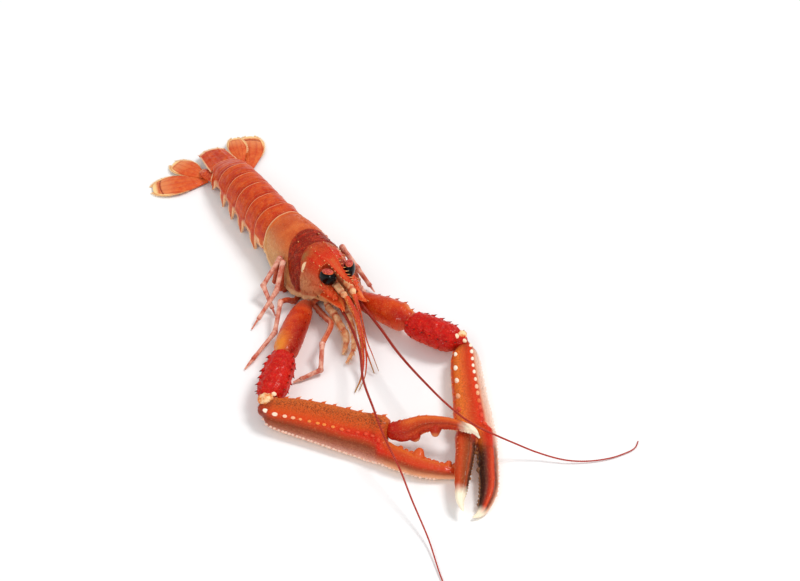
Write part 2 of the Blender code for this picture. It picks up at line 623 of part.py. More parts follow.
PALM_SECTION = np.array([(1.0, 0.22), (0.74, 0.68), (0.3, 0.84), (-0.2, 1.0), (-0.55, 0.72), (-0.92, 0.36),
                         (-1.0, -0.1), (-0.78, -0.62), (-0.3, -0.94), (0.3, -0.98), (0.78, -0.7), (1.0, -0.25)])
ARM_SECTION = circle(10, math.pi / 10)
ARMS = {
    "right": {
        "ischium": ((-8.5, -54.6, 6.0, 2.2), (-9.8, -54.6, 6.0, 2.3), (-14.2, -56.2, 5.6, 2.1),
                    (-18.6, -57.6, 7.4, 3.4)),
        "merus": ((-21.0, -59.9, 8.4, 4.4, 4.6), (-25.2, -64.1, 9.4, 5.6, 6.0), (-33.0, -71.9, 11.0, 6.4, 7.6),
                  (-44.0, -82.9, 12.2, 6.7, 8.8), (-51.0, -89.9, 12.8, 6.5, 8.6), (-54.0, -92.9, 13.0, 5.2, 6.6)),
        "carpus": ((-54.9, -93.7, 12.8, 4.8, 5.8, -0.4), (-58.0, -96.6, 12.5, 7.6, 7.8, -0.8),
                   (-65.1, -102.8, 12.1, 9.0, 8.6, -1.2), (-72.8, -110.8, 11.6, 9.1, 8.4, -1.2),
                   (-77.9, -116.2, 11.2, 7.8, 7.7, -0.8), (-80.1, -118.4, 11.0, 5.0, 5.8, 0.0)),
        "propodus": ((-84.6, -123.8, 9.0, 4.6, 4.8, 0.0), (-81.8, -127.8, 8.8, 8.5, 6.8, -0.3),
                     (-73.6, -138.3, 8.8, 10.8, 7.3, 0.2), (-57.4, -162.6, 8.0, 12.5, 7.5, 2.2),
                     (-48.0, -180.6, 6.3, 13.7, 7.6, 6.0), (-46.2, -183.8, 6.3, 13.0, 7.3, 5.7),
                     (-44.2, -187.2, 6.4, 6.9, 6.2, 0.2), (-40.0, -195.6, 6.4, 6.3, 5.6, 0.0),
                     (-31.5, -208.2, 5.6, 5.4, 5.0, 0.0), (-19.6, -218.8, 4.4, 3.8, 3.6, 0.0),
                     (-11.4, -224.8, 3.2, 0.9, 1.0, 0.0)),
        "dactyl": ((-33.2, -181.8, 13.2, 5.2, 4.8), (-29.4, -185.1, 14.2, 6.2, 5.4), (-19.9, -188.1, 17.0, 4.7, 4.8),
                   (-10.7, -194.7, 19.0, 3.5, 3.7), (-3.1, -203.7, 20.4, 2.5, 2.7), (0.9, -210.9, 20.4, 1.8, 1.9),
                   (1.2, -216.4, 19.4, 0.6, 0.6)),
    },
    "left": {
        "ischium": ((8.5, -54.6, 5.8, 2.2), (9.8, -54.8, 5.4, 2.2), (11.6, -59.0, 5.3, 2.1), (11.2, -64.4, 7.4, 3.3)),
        "merus": ((10.8, -67.4, 8.4, 4.2, 4.4), (11.2, -72.4, 9.1, 5.0, 5.2), (13.8, -82.0, 10.6, 6.2, 6.8),
                  (18.1, -95.0, 12.5, 7.0, 8.8), (21.5, -103.4, 13.0, 7.2, 9.2), (23.1, -107.0, 13.3, 5.6, 7.0)),
        "carpus": ((23.9, -108.7, 13.2, 4.9, 5.8), (25.0, -112.2, 12.6, 7.6, 8.2), (30.2, -122.4, 12.2, 8.7, 9.2),
                   (35.7, -131.8, 11.7, 8.5, 8.9), (39.0, -136.6, 11.7, 7.0, 7.4), (40.4, -138.5, 11.8, 4.8, 5.4)),
        "propodus": ((41.4, -143.0, 8.4, 4.6, 5.0, 0.0), (39.8, -146.6, 8.0, 7.0, 6.8, 0.5),
                     (36.1, -153.4, 7.7, 8.8, 7.3, 1.0), (25.4, -175.8, 7.3, 10.1, 7.5, 2.6),
                     (16.0, -199.6, 6.2, 11.6, 7.5, 5.5), (14.2, -203.2, 6.2, 11.3, 7.2, 5.4),
                     (12.4, -207.0, 6.2, 6.4, 6.2, 0.2), (6.8, -217.0, 6.2, 5.8, 5.6, 0.0),
                     (-0.9, -229.5, 5.3, 5.6, 5.2, 0.0), (-8.7, -241.3, 4.4, 5.0, 4.4, 0.0),
                     (-15.8, -248.0, 3.4, 3.6, 3.3, 0.0), (-22.3, -251.7, 2.5, 1.8, 1.8, 0.0),
                     (-25.8, -251.6, 2.4, 0.6, 0.6, 0.0)),
        "dactyl": ((1.6, -203.4, 11.2, 4.8, 4.8), (-1.3, -206.8, 11.8, 5.8, 5.2), (-6.9, -214.7, 12.0, 5.4, 4.8),
                   (-15.6, -225.6, 11.0, 4.6, 4.2), (-23.8, -236.0, 9.6, 3.4, 3.2), (-28.4, -241.9, 8.2, 2.2, 2.2),
                   (-30.2, -247.5, 6.6, 0.6, 0.6)),
    },
}


# Rows of spikes on a limb: first and last share of its length, count, section number, length, radius and lean.
# On the arm's round section 2 is the top, and on the claw's 0 is the inner edge, 3 the back ridge, 6 the outer edge.
MERUS_SPIKES = ((0.30, 0.90, 6, 2.0, 2.0, 0.8, 0.6), (0.35, 0.92, 4, 4.6, 1.2, 0.8, 0.6),
                (0.96, 0.96, 1, 3.4, 2.4, 1.0, 1.5))
CARPUS_SPIKES = ((0.22, 0.80, 4, 0.6, 1.9, 0.9, 0.8), (0.25, 0.85, 4, 3.6, 1.9, 0.9, 0.8),
                 (0.30, 0.88, 3, 2.1, 1.3, 0.8, 0.6), (0.89, 0.89, 1, 1.4, 1.6, 1.2, 0.4))
PALM_SPIKES = {
    "right": ((0.08, 0.52, 9, -0.1, 1.8, 1.0, 0.7), (0.05, 0.60, 13, 3.0, 1.1, 0.9, 0.5),
              (0.05, 0.86, 17, 5.9, 0.8, 0.8, 0.4), (0.13, 0.46, 6, 1.4, 0.8, 0.8, 0.4)),
    "left": ((0.08, 0.46, 9, -0.1, 1.4, 0.9, 0.7), (0.06, 0.52, 13, 3.0, 1.2, 0.9, 0.5),
             (0.05, 0.86, 17, 5.9, 0.8, 0.8, 0.4), (0.02, 0.41, 6, 1.0, 1.3, 1.0, 0.5)),
}
FINGER_TEETH = {
    "right": ((0.69, 0.73, 2, -0.5, 1.2, 1.1, 0.0), (0.766, 0.766, 1, -0.5, 3.8, 1.9, 0.0),
              (0.81, 0.87, 3, -0.5, 0.8, 0.9, 0.0), (0.905, 0.935, 2, -0.5, 1.8, 1.3, 0.2)),
    "left": ((0.60, 0.60, 1, -0.5, 1.6, 1.6, 0.0), (0.65, 0.70, 3, -0.5, 0.8, 0.8, 0.0),
             (0.75, 0.75, 1, -0.5, 1.4, 1.4, 0.0), (0.80, 0.92, 5, -0.5, 0.8, 0.8, 0.0)),
}
DACTYL_SPIKES = {
    "right": ((0.25, 0.25, 1, 6.2, 2.2, 2.0, 0.0), (0.33, 0.42, 3, 6.2, 0.8, 0.8, 0.0),
              (0.498, 0.498, 1, 6.2, 4.2, 1.9, 0.0), (0.58, 0.86, 6, 6.2, 0.8, 0.7, 0.0),
              (0.08, 0.42, 4, 0.6, 1.0, 0.9, 0.6)),
    "left": ((0.30, 0.30, 1, 6.2, 1.5, 1.4, 0.0), (0.38, 0.56, 4, 6.2, 0.8, 0.8, 0.0),
             (0.62, 0.62, 1, 6.2, 1.3, 1.1, 0.0), (0.68, 0.90, 5, 6.2, 0.7, 0.6, 0.0),
             (0.08, 0.42, 4, 0.6, 1.0, 0.9, 0.6)),
}


def studded_limb(name, rings, rows, finish, home):
    """A limb of rings with its rows of spikes fused to it."""
    body = add_mesh(name, on_floor(loft(rings)), finish, home)
    stud(body, [spike_at for row in rows for spike_at in spike_row(rings, *row)], finish, home)


def build_chelipeds(home):
    for name, pieces in ARMS.items():
        side = SIDES[name]
        claw = {"roll": side * CLAW_ROLLS[name], "hand": side}
        title = f"cheliped_{name}_"
        add_mesh(title + "ischium", on_floor(limb(rounded(pieces["ischium"]), ARM_SECTION)), "limb", home)
        studded_limb(title + "merus", limb_rings(pieces["merus"], ARM_SECTION), MERUS_SPIKES, "claw", home)
        studded_limb(title + "carpus", limb_rings(pieces["carpus"], ARM_SECTION), CARPUS_SPIKES, "carpus", home)
        palm = limb_rings(pieces["propodus"], PALM_SECTION, **claw)
        studded_limb(title + "propodus", palm, PALM_SPIKES[name] + FINGER_TEETH[name], "claw", home)
        dactyl = limb_rings(pieces["dactyl"], PALM_SECTION, **claw)
        studded_limb(title + "dactyl", dactyl, DACTYL_SPIKES[name], "claw", home)


# Antennae

FLAGELLA = {
    "right": ((-6.4, -77.8, 15.4), (-7.8, -85.2, 15.9), (-12.7, -104.6, 17.5), (-18.0, -119.6, 18.5),
              (-30.2, -143.5, 20.5), (-38.6, -168.5, 22.3), (-43.0, -183.0, 22.0), (-45.8, -194.8, 21.0),
              (-47.4, -207.6, 17.5), (-51.2, -228.3, 9.5), (-55.8, -251.7, 3.5), (-64.2, -278.4, 1.0),
              (-69.0, -300.0, 0.9)),
    "left": ((6.2, -77.8, 15.4), (4.2, -95.7, 17.0), (2.2, -112.4, 18.5), (-0.6, -132.5, 20.0), (-2.7, -166.0, 23.0),
             (-2.1, -195.6, 25.0), (-0.5, -206.0, 25.3), (2.9, -215.0, 24.5), (9.9, -219.1, 19.0),
             (20.5, -225.2, 11.0), (29.9, -232.8, 5.5), (44.1, -245.8, 2.0), (59.4, -253.9, 1.1),
             (71.3, -256.9, 0.9), (83.4, -256.3, 0.9), (86.7, -253.8, 0.9)),
}
FLAGELLUM_CUTS = (0, 11, 22, 33)
FLAGELLUM_RADII = ((0, 1.15), (0.4, 0.85), (1.0, 0.4))
CURVE_SAMPLES = 16


def smooth_path(points, count):
    """A smooth curve through the points (Catmull-Rom), sampled at count places spread evenly over its length."""
    points = np.asarray(points, float)
    padded = np.concatenate([[2 * points[0] - points[1]], points, [2 * points[-1] - points[-2]]])
    dense = []
    for share in np.linspace(0, len(points) - 1 - 1e-9, CURVE_SAMPLES * (len(points) - 1) + 1):
        i, t = int(share), share - int(share)
        p0, p1, p2, p3 = padded[i:i + 4]
        dense.append(0.5 * (2 * p1 + (p2 - p0) * t + (2 * p0 - 5 * p1 + 4 * p2 - p3) * t**2
                            + (3 * p1 - p0 - 3 * p2 + p3) * t**3))
    dense = np.array(dense)
    lengths = np.concatenate([[0], np.cumsum(np.linalg.norm(np.diff(dense, axis=0), axis=1))])
    even = np.linspace(0, lengths[-1], count)
    return np.stack([np.interp(even, lengths, dense[:, axis]) for axis in range(3)], 1)


def thread(name, points, start_radius, end_radius, finish, home):
    """A tapered round thread: a curve with a bevel and filled caps, turned into a mesh."""
    curve = bpy.data.curves.new(name, "CURVE")
    curve.dimensions = "3D"
    curve.bevel_depth = start_radius * MM
    curve.bevel_resolution = 2
    curve.use_fill_caps = True
    line = curve.splines.new("POLY")
    line.points.add(len(points) - 1)
    shares = np.linspace(0, 1, len(points))
    for dot, place, share in zip(line.points, points, shares):
        dot.co = (*(place * MM), 1.0)
        dot.radius = 1 + (end_radius / start_radius - 1) * share
    guide = bpy.data.objects.new(name + "_guide", curve)
    home.objects.link(guide)
    bpy.context.view_layer.update()
    graph = bpy.context.evaluated_depsgraph_get()
    mesh = bpy.data.meshes.new_from_object(guide.evaluated_get(graph))
    bpy.data.objects.remove(guide, do_unlink=True)
    shape = bmesh.new()
    shape.from_mesh(mesh)
    bmesh.ops.remove_doubles(shape, verts=shape.verts, dist=0.00002)
    bmesh.ops.recalc_face_normals(shape, faces=shape.faces)
    shape.to_mesh(mesh)
    shape.free()
    mesh.materials.clear()
    mesh.materials.append(material(finish))
    made = bpy.data.objects.new(name, mesh)
    home.objects.link(made)
    return made


def build_feelers(home):
    count = FLAGELLUM_CUTS[-1] + 1
    for side_name, points in FLAGELLA.items():
        path = smooth_path(points, count)
        radii = np.interp(np.linspace(0, 1, count), *zip(*FLAGELLUM_RADII))
        for number, (first, last) in enumerate(zip(FLAGELLUM_CUTS, FLAGELLUM_CUTS[1:]), 1):
            piece = path[first:last + 1].copy()
            if number > 1:
                piece[0] += unit(piece[1] - piece[0]) * 1.5 * GAP
            thread(f"antenna_{side_name}_{number}", piece, radii[first], radii[last], "feeler", home)


# Joining


def fuse(body, pieces):
    """Joins the pieces to the body by one Boolean union and keeps the largest closed surface."""
    helpers = collection(body.name + "_pieces")
    for piece in pieces:
        for owner in list(piece.users_collection):
            owner.objects.unlink(piece)
        helpers.objects.link(piece)
    union = body.modifiers.new("union", "BOOLEAN")
    union.operation = "UNION"
    union.solver = "EXACT"
    union.operand_type = "COLLECTION"
    union.collection = helpers
    graph = bpy.context.evaluated_depsgraph_get()
    mesh = bpy.data.meshes.new_from_object(body.evaluated_get(graph))
    body.modifiers.clear()
    body.data = mesh
    for piece in pieces:
        bpy.data.objects.remove(piece, do_unlink=True)
    bpy.data.collections.remove(helpers)
    keep_largest(body)


def keep_largest(body):
    """Removes all but the largest of the closed surfaces of the mesh."""
    shape = bmesh.new()
    shape.from_mesh(body.data)
    left = set(shape.verts)
    islands = []
    while left:
        island, queue = set(), [left.pop()]
        while queue:
            vertex = queue.pop()
            island.add(vertex)
            for edge in vertex.link_edges:
                other = edge.other_vert(vertex)
                if other in left:
                    left.remove(other)
                    queue.append(other)
        islands.append(island)
    islands.sort(key=len)
    for island in islands[:-1]:
        bmesh.ops.delete(shape, geom=list(island), context="VERTS")
    shape.to_mesh(body.data)
    shape.free()


def stand_on_origin(home):
    """Moves every mesh so that the bottom centre of the model's box is the origin."""
    corners = np.array([vertex.co for item in home.objects for vertex in item.data.vertices])
    low, high = corners.min(axis=0), corners.max(axis=0)
    shift = Vector((-(low[0] + high[0]) / 2, -(low[1] + high[1]) / 2, -low[2]))
    for item in home.objects:
        item.data.transform(Matrix.Translation(shift))


def main():
    clear_scene()
    home = collection(MODEL)
    build_carapace(home)
    add_mesh("sternum", sternum_block(), "under", home)
    build_tail(home)
    build_head(home)
    build_legs(home)
    build_chelipeds(home)
    build_feelers(home)
    stand_on_origin(home)


main()
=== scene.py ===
"""Norway lobster (Nephrops norvegicus), life size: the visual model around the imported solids.

Lengths are millimetres in the body frame of the solids: head towards -Y, tail towards +Y, left side at +X,
floor at Z = 0, and Y = 0 at the carapace's rear edge. lay_mesh turns them into metres in the frame's place.
"""

import math

import bpy
import numpy as np
from bpy.props import FloatProperty, FloatVectorProperty, PointerProperty
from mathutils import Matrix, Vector


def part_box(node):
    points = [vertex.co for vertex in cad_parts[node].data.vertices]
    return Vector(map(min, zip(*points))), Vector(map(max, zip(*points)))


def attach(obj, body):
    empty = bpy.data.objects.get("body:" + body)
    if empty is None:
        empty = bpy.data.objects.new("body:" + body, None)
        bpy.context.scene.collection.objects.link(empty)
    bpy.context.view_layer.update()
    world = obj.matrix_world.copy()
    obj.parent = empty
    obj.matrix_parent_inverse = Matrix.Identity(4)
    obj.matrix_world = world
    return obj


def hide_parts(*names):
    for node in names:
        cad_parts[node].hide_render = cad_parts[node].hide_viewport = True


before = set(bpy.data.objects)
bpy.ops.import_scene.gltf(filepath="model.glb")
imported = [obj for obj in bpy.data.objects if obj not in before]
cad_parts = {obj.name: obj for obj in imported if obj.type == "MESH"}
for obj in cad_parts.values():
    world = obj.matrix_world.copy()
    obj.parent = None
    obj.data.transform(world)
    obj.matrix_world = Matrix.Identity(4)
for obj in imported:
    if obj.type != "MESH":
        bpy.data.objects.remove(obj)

bl_info = {
    "name": "Norway lobster",
    "version": (1, 0, 0),
    "blender": (4, 5, 0),
    "location": "View3D > Sidebar > Lobster",
    "description": "Builds a life-size Norway lobster piece by piece",
    "category": "Add Mesh",
}

MM = 0.001
EYE_PLACE = np.array((7.6, -66.5, 31.5))
SHIFT = np.mean([tuple(corner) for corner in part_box("eye_left")], axis=0) - EYE_PLACE * MM
SIDES = {"right": -1.0, "left": 1.0}
UP = np.array((0.0, 0.0, 1.0))
COLOUR_DEPTH = 1.14
SHARP_EDGE = math.radians(62)
DOME_RINGS = 6
DOME_END = 0.47 * math.pi
RANDOM = np.random.default_rng(17)


# Numbers and curves


def unit(vectors):
    """Vectors divided by their lengths."""
    return vectors / np.maximum(np.linalg.norm(vectors, axis=-1, keepdims=True), 1e-12)


def run(points):
    """Length along a row of points, from zero."""
    return np.concatenate([[0.0], np.cumsum(np.linalg.norm(np.diff(points, axis=0), axis=1))])


def shares_along(rings):
    """Share of the length at each ring, along the line of the rings' centres."""
    length = run(rings.mean(axis=1))
    return length / length[-1]


def turns(count):
    """Angles spread evenly round a circle."""
    return np.arange(count) * 2 * math.pi / count


def hermite(at, places, values, slopes):
    """Cubic between neighbouring places that keeps the value and the slope given at each."""
    i = np.clip(np.searchsorted(places, at, side="right") - 1, 0, len(places) - 2)
    span = places[i + 1] - places[i]
    t = (at - places[i]) / span
    if values.ndim > 1:
        span, t = span[..., None], t[..., None]
    rise = slopes[i] * (t**3 - 2 * t**2 + t) + slopes[i + 1] * (t**3 - t**2)
    return values[i] * (2 * t**3 - 3 * t**2 + 1) + values[i + 1] * (3 * t**2 - 2 * t**3) + span * rise


def smooth(at, knots):
    """Value of a smooth curve through the knots, held beyond the first and the last."""
    places, values = np.array(sorted(knots), float).T
    return hermite(np.clip(at, places[0], places[-1]), places, values, np.gradient(values, places))


def steady_slopes(values, places):
    """Slopes that never overshoot: the harmonic mean of both neighbours, zero where their signs differ."""
    steps = np.diff(values, axis=0) / np.diff(places)[:, None]
    before, after = steps[:-1], steps[1:]
    same = before * after > 0
    inner = np.where(same, 2 * before * after / np.where(same, before + after, 1.0), 0.0)
    return np.concatenate([steps[:1], inner, steps[-1:]])


def even_rows(rows, count):
    """Rows spread evenly along a smooth curve: places keep neighbours' slopes, and sizes don't overshoot."""
    rows = np.asarray(rows, float)
    lengths = run(rows[:, :3])
    at = np.linspace(0, lengths[-1], count)
    places = hermite(at, lengths, rows[:, :3], np.gradient(rows[:, :3], lengths, axis=0))
    return np.concatenate([places, hermite(at, lengths, rows[:, 3:], steady_slopes(rows[:, 3:], lengths))], 1)


def bell(value, middle, width):
    """One at the middle, falling to about a third at the width."""
    return np.exp(-(((value - middle) / width) ** 2))


def step(value, low, high):
    """Zero below low, one above high, an S curve between; low may be the larger one."""
    t = np.clip((value - low) / (high - low), 0, 1)
    return t * t * (3 - 2 * t)


def ripple(points, length, seed, waves=14):
    """Uneven relief between about -1 and 1: a sum of sine waves of one length in random directions."""
    random = np.random.default_rng(seed)
    directions = unit(random.normal(size=(waves, 3)))
    directions = directions * (2 * math.pi / length) * random.uniform(0.7, 1.4, (waves, 1))
    phases = random.uniform(0, 2 * math.pi, waves)
    total = np.zeros(points.shape[:-1])
    for direction, phase in zip(directions, phases):
        total += np.sin(points @ direction + phase)
    return total * math.sqrt(2 / waves) / 1.6


def round_section(count):
    """A unit circle, counted from the side and over the top."""
    return np.stack([np.cos(turns(count)), np.sin(turns(count))], 1)


def closed_section(corners, count):
    """A smooth closed curve through the corners, with as many points between each two (Catmull-Rom)."""
    corners = np.asarray(corners, float)
    at = np.arange(count) * len(corners) / count
    i, t = at.astype(int), (at % 1)[:, None]
    p0, p1, p2, p3 = (corners[(i + k) % len(corners)] for k in (-1, 0, 1, 2))
    bend = (2 * p0 - 5 * p1 + 4 * p2 - p3) * t**2 + (3 * p1 - p0 - 3 * p2 + p3) * t**3
    return 0.5 * (2 * p1 + (p2 - p0) * t + bend)


# Shapes: points in millimetres, faces, and a number per point for each mark that a material reads


class Shape:
    """Points, a list of face arrays, and marks by name."""

    def __init__(self, points, faces, marks):
        self.points = points
        self.faces = faces
        self.marks = marks

    def volume(self):
        """A sixth of the sum of the triple products of all triangles' corners."""
        total = 0.0
        for corners in self.faces:
            first = self.points[corners[:, 0]]
            for k in range(1, corners.shape[1] - 1):
                second, third = self.points[corners[:, k]], self.points[corners[:, k + 1]]
                total += np.einsum("ij,ij->", first, np.cross(second, third))
        return total / 6

    def outward(self):
        """The shape with its faces turned outwards."""
        if self.volume() < 0:
            self.faces = [corners[:, ::-1] for corners in self.faces]
        return self


def join(shapes):
    """One shape of many; a mark that a shape lacks is zero on it."""
    names = sorted({name for shape in shapes for name in shape.marks})
    counts = np.cumsum([0] + [len(shape.points) for shape in shapes])
    faces = [corners + start for shape, start in zip(shapes, counts) for corners in shape.faces]
    marks = {
        name: np.concatenate([np.broadcast_to(s.marks.get(name, 0.0), len(s.points)) for s in shapes])
        for name in names
    }
    return Shape(np.concatenate([shape.points for shape in shapes]), faces, marks)


def quads(index, following):
    """Four-cornered faces between neighbouring rows of two index grids, the second one column further on."""
    corners = [index[..., :-1, :], following[..., :-1, :], following[..., 1:, :], index[..., 1:, :]]
    return np.stack(corners, -1).reshape(-1, 4)


def closed(rings, **marks):
    """Closed skins over many rows of rings: quads between neighbours, and a fan to a pole at each end."""
    many, count, around = rings.shape[:3]
    index = np.arange(many * count * around).reshape(many, count, around)
    following = np.roll(index, -1, axis=2)
    poles = index.size + np.arange(2 * many).reshape(many, 2)
    fans = [np.stack([following[:, 0], index[:, 0], np.repeat(poles[:, :1], around, 1)], -1),
            np.stack([index[:, -1], following[:, -1], np.repeat(poles[:, 1:], around, 1)], -1)]
    flat = {}
    for name, values in marks.items():
        values = np.broadcast_to(values, index.shape)
        flat[name] = np.concatenate([values.ravel(), values[:, [0, -1]].mean(axis=2).ravel()])
    points = np.concatenate([rings.reshape(-1, 3), rings[:, [0, -1]].mean(axis=2).reshape(-1, 3)])
    return Shape(points, [quads(index, following), *(fan.reshape(-1, 3) for fan in fans)], flat).outward()


def tube(rings, **marks):
    """Closed skin over rings, marked with its length share (along) and the turn's cosine and sine."""
    inner, top = round_section(rings.shape[1]).T
    return closed(rings[None], **{"along": shares_along(rings)[:, None], "inner": inner, "top": top, **marks})


def skin(outer, inner, **marks):
    """Closed skin over two grids of one size: quads on both, and a strip round their common rim."""
    rows, columns = outer.shape[:2]
    under = rows * columns
    index = np.arange(under).reshape(rows, columns)
    faces = quads(index[:, :-1], index[:, 1:])
    rim = np.concatenate([index[0], index[1:, -1], index[-1, -2::-1], index[-2:0:-1, 0]])
    ahead = np.roll(rim, -1)
    strip = np.stack([ahead, rim, rim + under, ahead + under], -1)
    flat = {name: np.tile(np.broadcast_to(values, index.shape).ravel(), 2) for name, values in marks.items()}
    flat["under"] = np.repeat([0.0, 1.0], under)
    points = np.concatenate([outer.reshape(-1, 3), inner.reshape(-1, 3)])
    return Shape(points, [faces, faces[:, ::-1] + under, strip], flat).outward()


def frames(places, up, carried):
    """Forward, sideways and upward directions along a path; carried ones turn as little as they can."""
    forward = unit(np.gradient(places, axis=0))
    if not carried:
        side = unit(np.cross(forward, up))
        return forward, side, np.cross(side, forward)
    side = np.empty_like(forward)
    rise = np.asarray(up, float)
    for i, ahead in enumerate(forward):
        side[i] = unit(np.cross(ahead, rise))
        rise = np.cross(side[i], ahead)
    return forward, side, np.cross(side, forward)


def rings_along(rows, section, count, roll=0.0, hand=1.0, up=UP, carried=False, ends=(1.0, 1.0)):
    """A section, or a circle of so many points, carried along a path of rows.

    A row holds x, y, z, half width, half thickness and, where given, a shift. Half width and shift go along
    the path's sideways direction, half thickness along its upward one. Both ends close in domes, whose rings
    shrink as a cosine while they go on as a sine.
    """
    if isinstance(section, int):
        section = round_section(section)
    rows = even_rows(rows, count)
    places = rows[:, :3]
    forward, side, rise = frames(places, up, carried)
    turn = math.radians(roll)
    across = side * math.cos(turn) + rise * math.sin(turn)
    upward = rise * math.cos(turn) - side * math.sin(turn)
    angle = np.linspace(0, DOME_END, DOME_RINGS + 1)[1:]
    index = np.concatenate([np.zeros(DOME_RINGS, int), np.arange(count), np.full(DOME_RINGS, count - 1)])
    size = np.concatenate([np.cos(angle)[::-1], np.ones(count), np.cos(angle)])[:, None, None]
    first, last = ends[0] * rows[0, 3:5].min(), ends[1] * rows[-1, 3:5].min()
    reach = np.concatenate([-first * np.sin(angle)[::-1], np.zeros(count), last * np.sin(angle)])
    centre = places[index] + forward[index] * reach[:, None]
    shift = rows[index, 5][:, None, None] if rows.shape[1] > 5 else 0.0
    section = np.broadcast_to(section, (count, *np.shape(section)[-2:]))[index]
    sideways = hand * (section[..., :1] * size * rows[index, 3][:, None, None] + shift)
    lift = section[..., 1:] * size * rows[index, 4][:, None, None]
    return centre[:, None] + sideways * across[index][:, None] + lift * upward[index][:, None]


def pushed(grid, heights, wrapped=False):
    """A grid of points moved by the heights along its outward normals: the cross products of its steps."""
    down = np.gradient(grid, axis=0)
    over = (np.roll(grid, -1, axis=1) - np.roll(grid, 1, axis=1)) if wrapped else np.gradient(grid, axis=1)
    found = unit(np.cross(down, over))
    outwardness = np.einsum("ijk,ijk->", found, grid - grid.mean(axis=1, keepdims=True))
    return grid + found * np.sign(outwardness or 1.0) * heights[..., None]


def roughened(rings, amount, length, seed):
    """Rings pushed in and out by an uneven relief."""
    return pushed(rings, amount * ripple(rings, length, seed), True)


def resized(rings, size):
    """Each ring scaled about its own centre."""
    centres = rings.mean(axis=1)[:, None]
    return centres + (rings - centres) * size[:, None, None]


def on_skin(rings, share, around):
    """Places, outward and forward directions on rings, at shares of their length and of the way round."""
    centres = rings.mean(axis=1)
    lengths = run(centres)
    row = np.interp(np.asarray(share) * lengths[-1], lengths, np.arange(len(rings)))
    i = np.clip(row.astype(int), 0, len(rings) - 2)
    ring = rings[i] + (rings[i + 1] - rings[i]) * (row - i)[:, None, None]
    column = np.broadcast_to(np.asarray(around) % 1, row.shape) * rings.shape[1]
    j, each = column.astype(int) % rings.shape[1], np.arange(len(row))
    first, second = ring[each, j], ring[each, (j + 1) % rings.shape[1]]
    place = first + (second - first) * (column - column.astype(int))[:, None]
    forward = unit(centres[i + 1] - centres[i])
    outward = place - ring.mean(axis=1)
    outward -= forward * np.einsum("ij,ij->i", outward, forward)[:, None]
    return place, unit(outward), forward


def studs(places, directions, lengths, radii, profile, sides=8, bend=None, longer=None, **marks):
    """Cones or knobs on a surface: a profile of heights and widths turned about each direction.

    Heights count in the stud's length and widths in its radius. Bend moves the tip sideways by a share of
    the length, growing with the square of the height. Longer holds the directions in which the studs are
    drawn out, and how much. Each is marked with tip, its height share.
    """
    profile = np.asarray(profile, float)
    places, directions = np.atleast_2d(places), unit(np.atleast_2d(directions))
    lengths, radii = (np.broadcast_to(v, len(places)).astype(float) for v in (lengths, radii))
    aside = unit(np.cross(directions, np.where(np.abs(directions[:, 2:]) > 0.9, (1.0, 0, 0), (0, 0, 1.0))))
    drawn = 1.0
    if longer is not None:
        aside = unit(longer[0] - directions * np.einsum("ij,ij->i", longer[0], directions)[:, None])
        drawn = longer[1]
    other = np.cross(directions, aside)
    turn = turns(sides)[:, None]
    rim = drawn * np.cos(turn) * aside[:, None] + np.sin(turn) * other[:, None]
    heights = profile[:, 0] * lengths[:, None]
    widths = profile[:, 1] * radii[:, None]
    rings = places[:, None, None] + directions[:, None, None] * heights[..., None, None]
    rings = rings + rim[:, None] * widths[..., None, None]
    if bend is not None:
        lean = np.maximum(profile[:, 0], 0) ** 2 * lengths[:, None]
        rings = rings + np.atleast_2d(bend)[:, None, None] * lean[..., None, None]
    tips = np.clip(profile[:, 0], 0, 1)[:, None]
    each = {name: np.broadcast_to(values, len(places))[:, None, None] for name, values in marks.items()}
    return closed(rings, tip=tips, **each)


# Stud profiles: rows of height and width
THORN = ((-0.5, 1.0), (-0.1, 1.05), (0.12, 0.82), (0.35, 0.55), (0.6, 0.33), (0.82, 0.17), (1.0, 0.05))
KNOB = ((-0.5, 0.9), (0.0, 1.0), (0.35, 0.95), (0.65, 0.78), (0.88, 0.48), (1.0, 0.14))
TOOTH = ((-0.5, 1.1), (0.0, 1.0), (0.25, 0.86), (0.5, 0.7), (0.75, 0.56), (0.9, 0.42), (0.98, 0.22),
    (1.0, 0.06))
HAIR = ((-0.1, 1.0), (0.5, 0.7), (1.0, 0.1))


def lay_mesh(name, shape, finish, nodes):
    """Makes the shape an object with its marks as attributes; it rides on root and stands for the nodes.

    Points below the floor are raised to it.
    """
    mesh = bpy.data.meshes.new(name)
    shape.points[:, 2] = np.maximum(shape.points[:, 2], 0.0)
    corners = np.concatenate([faces.ravel() for faces in shape.faces])
    sizes = np.concatenate([np.full(len(faces), faces.shape[1]) for faces in shape.faces])
    starts = np.concatenate([[0], np.cumsum(sizes)[:-1]])
    mesh.vertices.add(len(shape.points))
    mesh.vertices.foreach_set("co", (shape.points * MM + SHIFT).astype(np.float32).ravel())
    mesh.loops.add(len(corners))
    mesh.loops.foreach_set("vertex_index", corners.astype(np.int32))
    mesh.polygons.add(len(sizes))
    mesh.polygons.foreach_set("loop_start", starts.astype(np.int32))
    mesh.polygons.foreach_set("use_smooth", np.ones(len(sizes), bool))
    mesh.update(calc_edges=True)
    for mark, values in shape.marks.items():
        layer = mesh.attributes.new(mark, "FLOAT", "POINT")
        layer.data.foreach_set("value", values.astype(np.float32))
    mesh.set_sharp_from_angle(angle=SHARP_EDGE)
    mesh.materials.append(finish)
    made = linked(name, mesh)
    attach(made, "root")
    if nodes:
        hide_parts(*nodes)
    return made


def linked(name, data):
    """A new object of the data, in the scene."""
    made = bpy.data.objects.new(name, data)
    bpy.context.scene.collection.objects.link(made)
    return made


# Materials


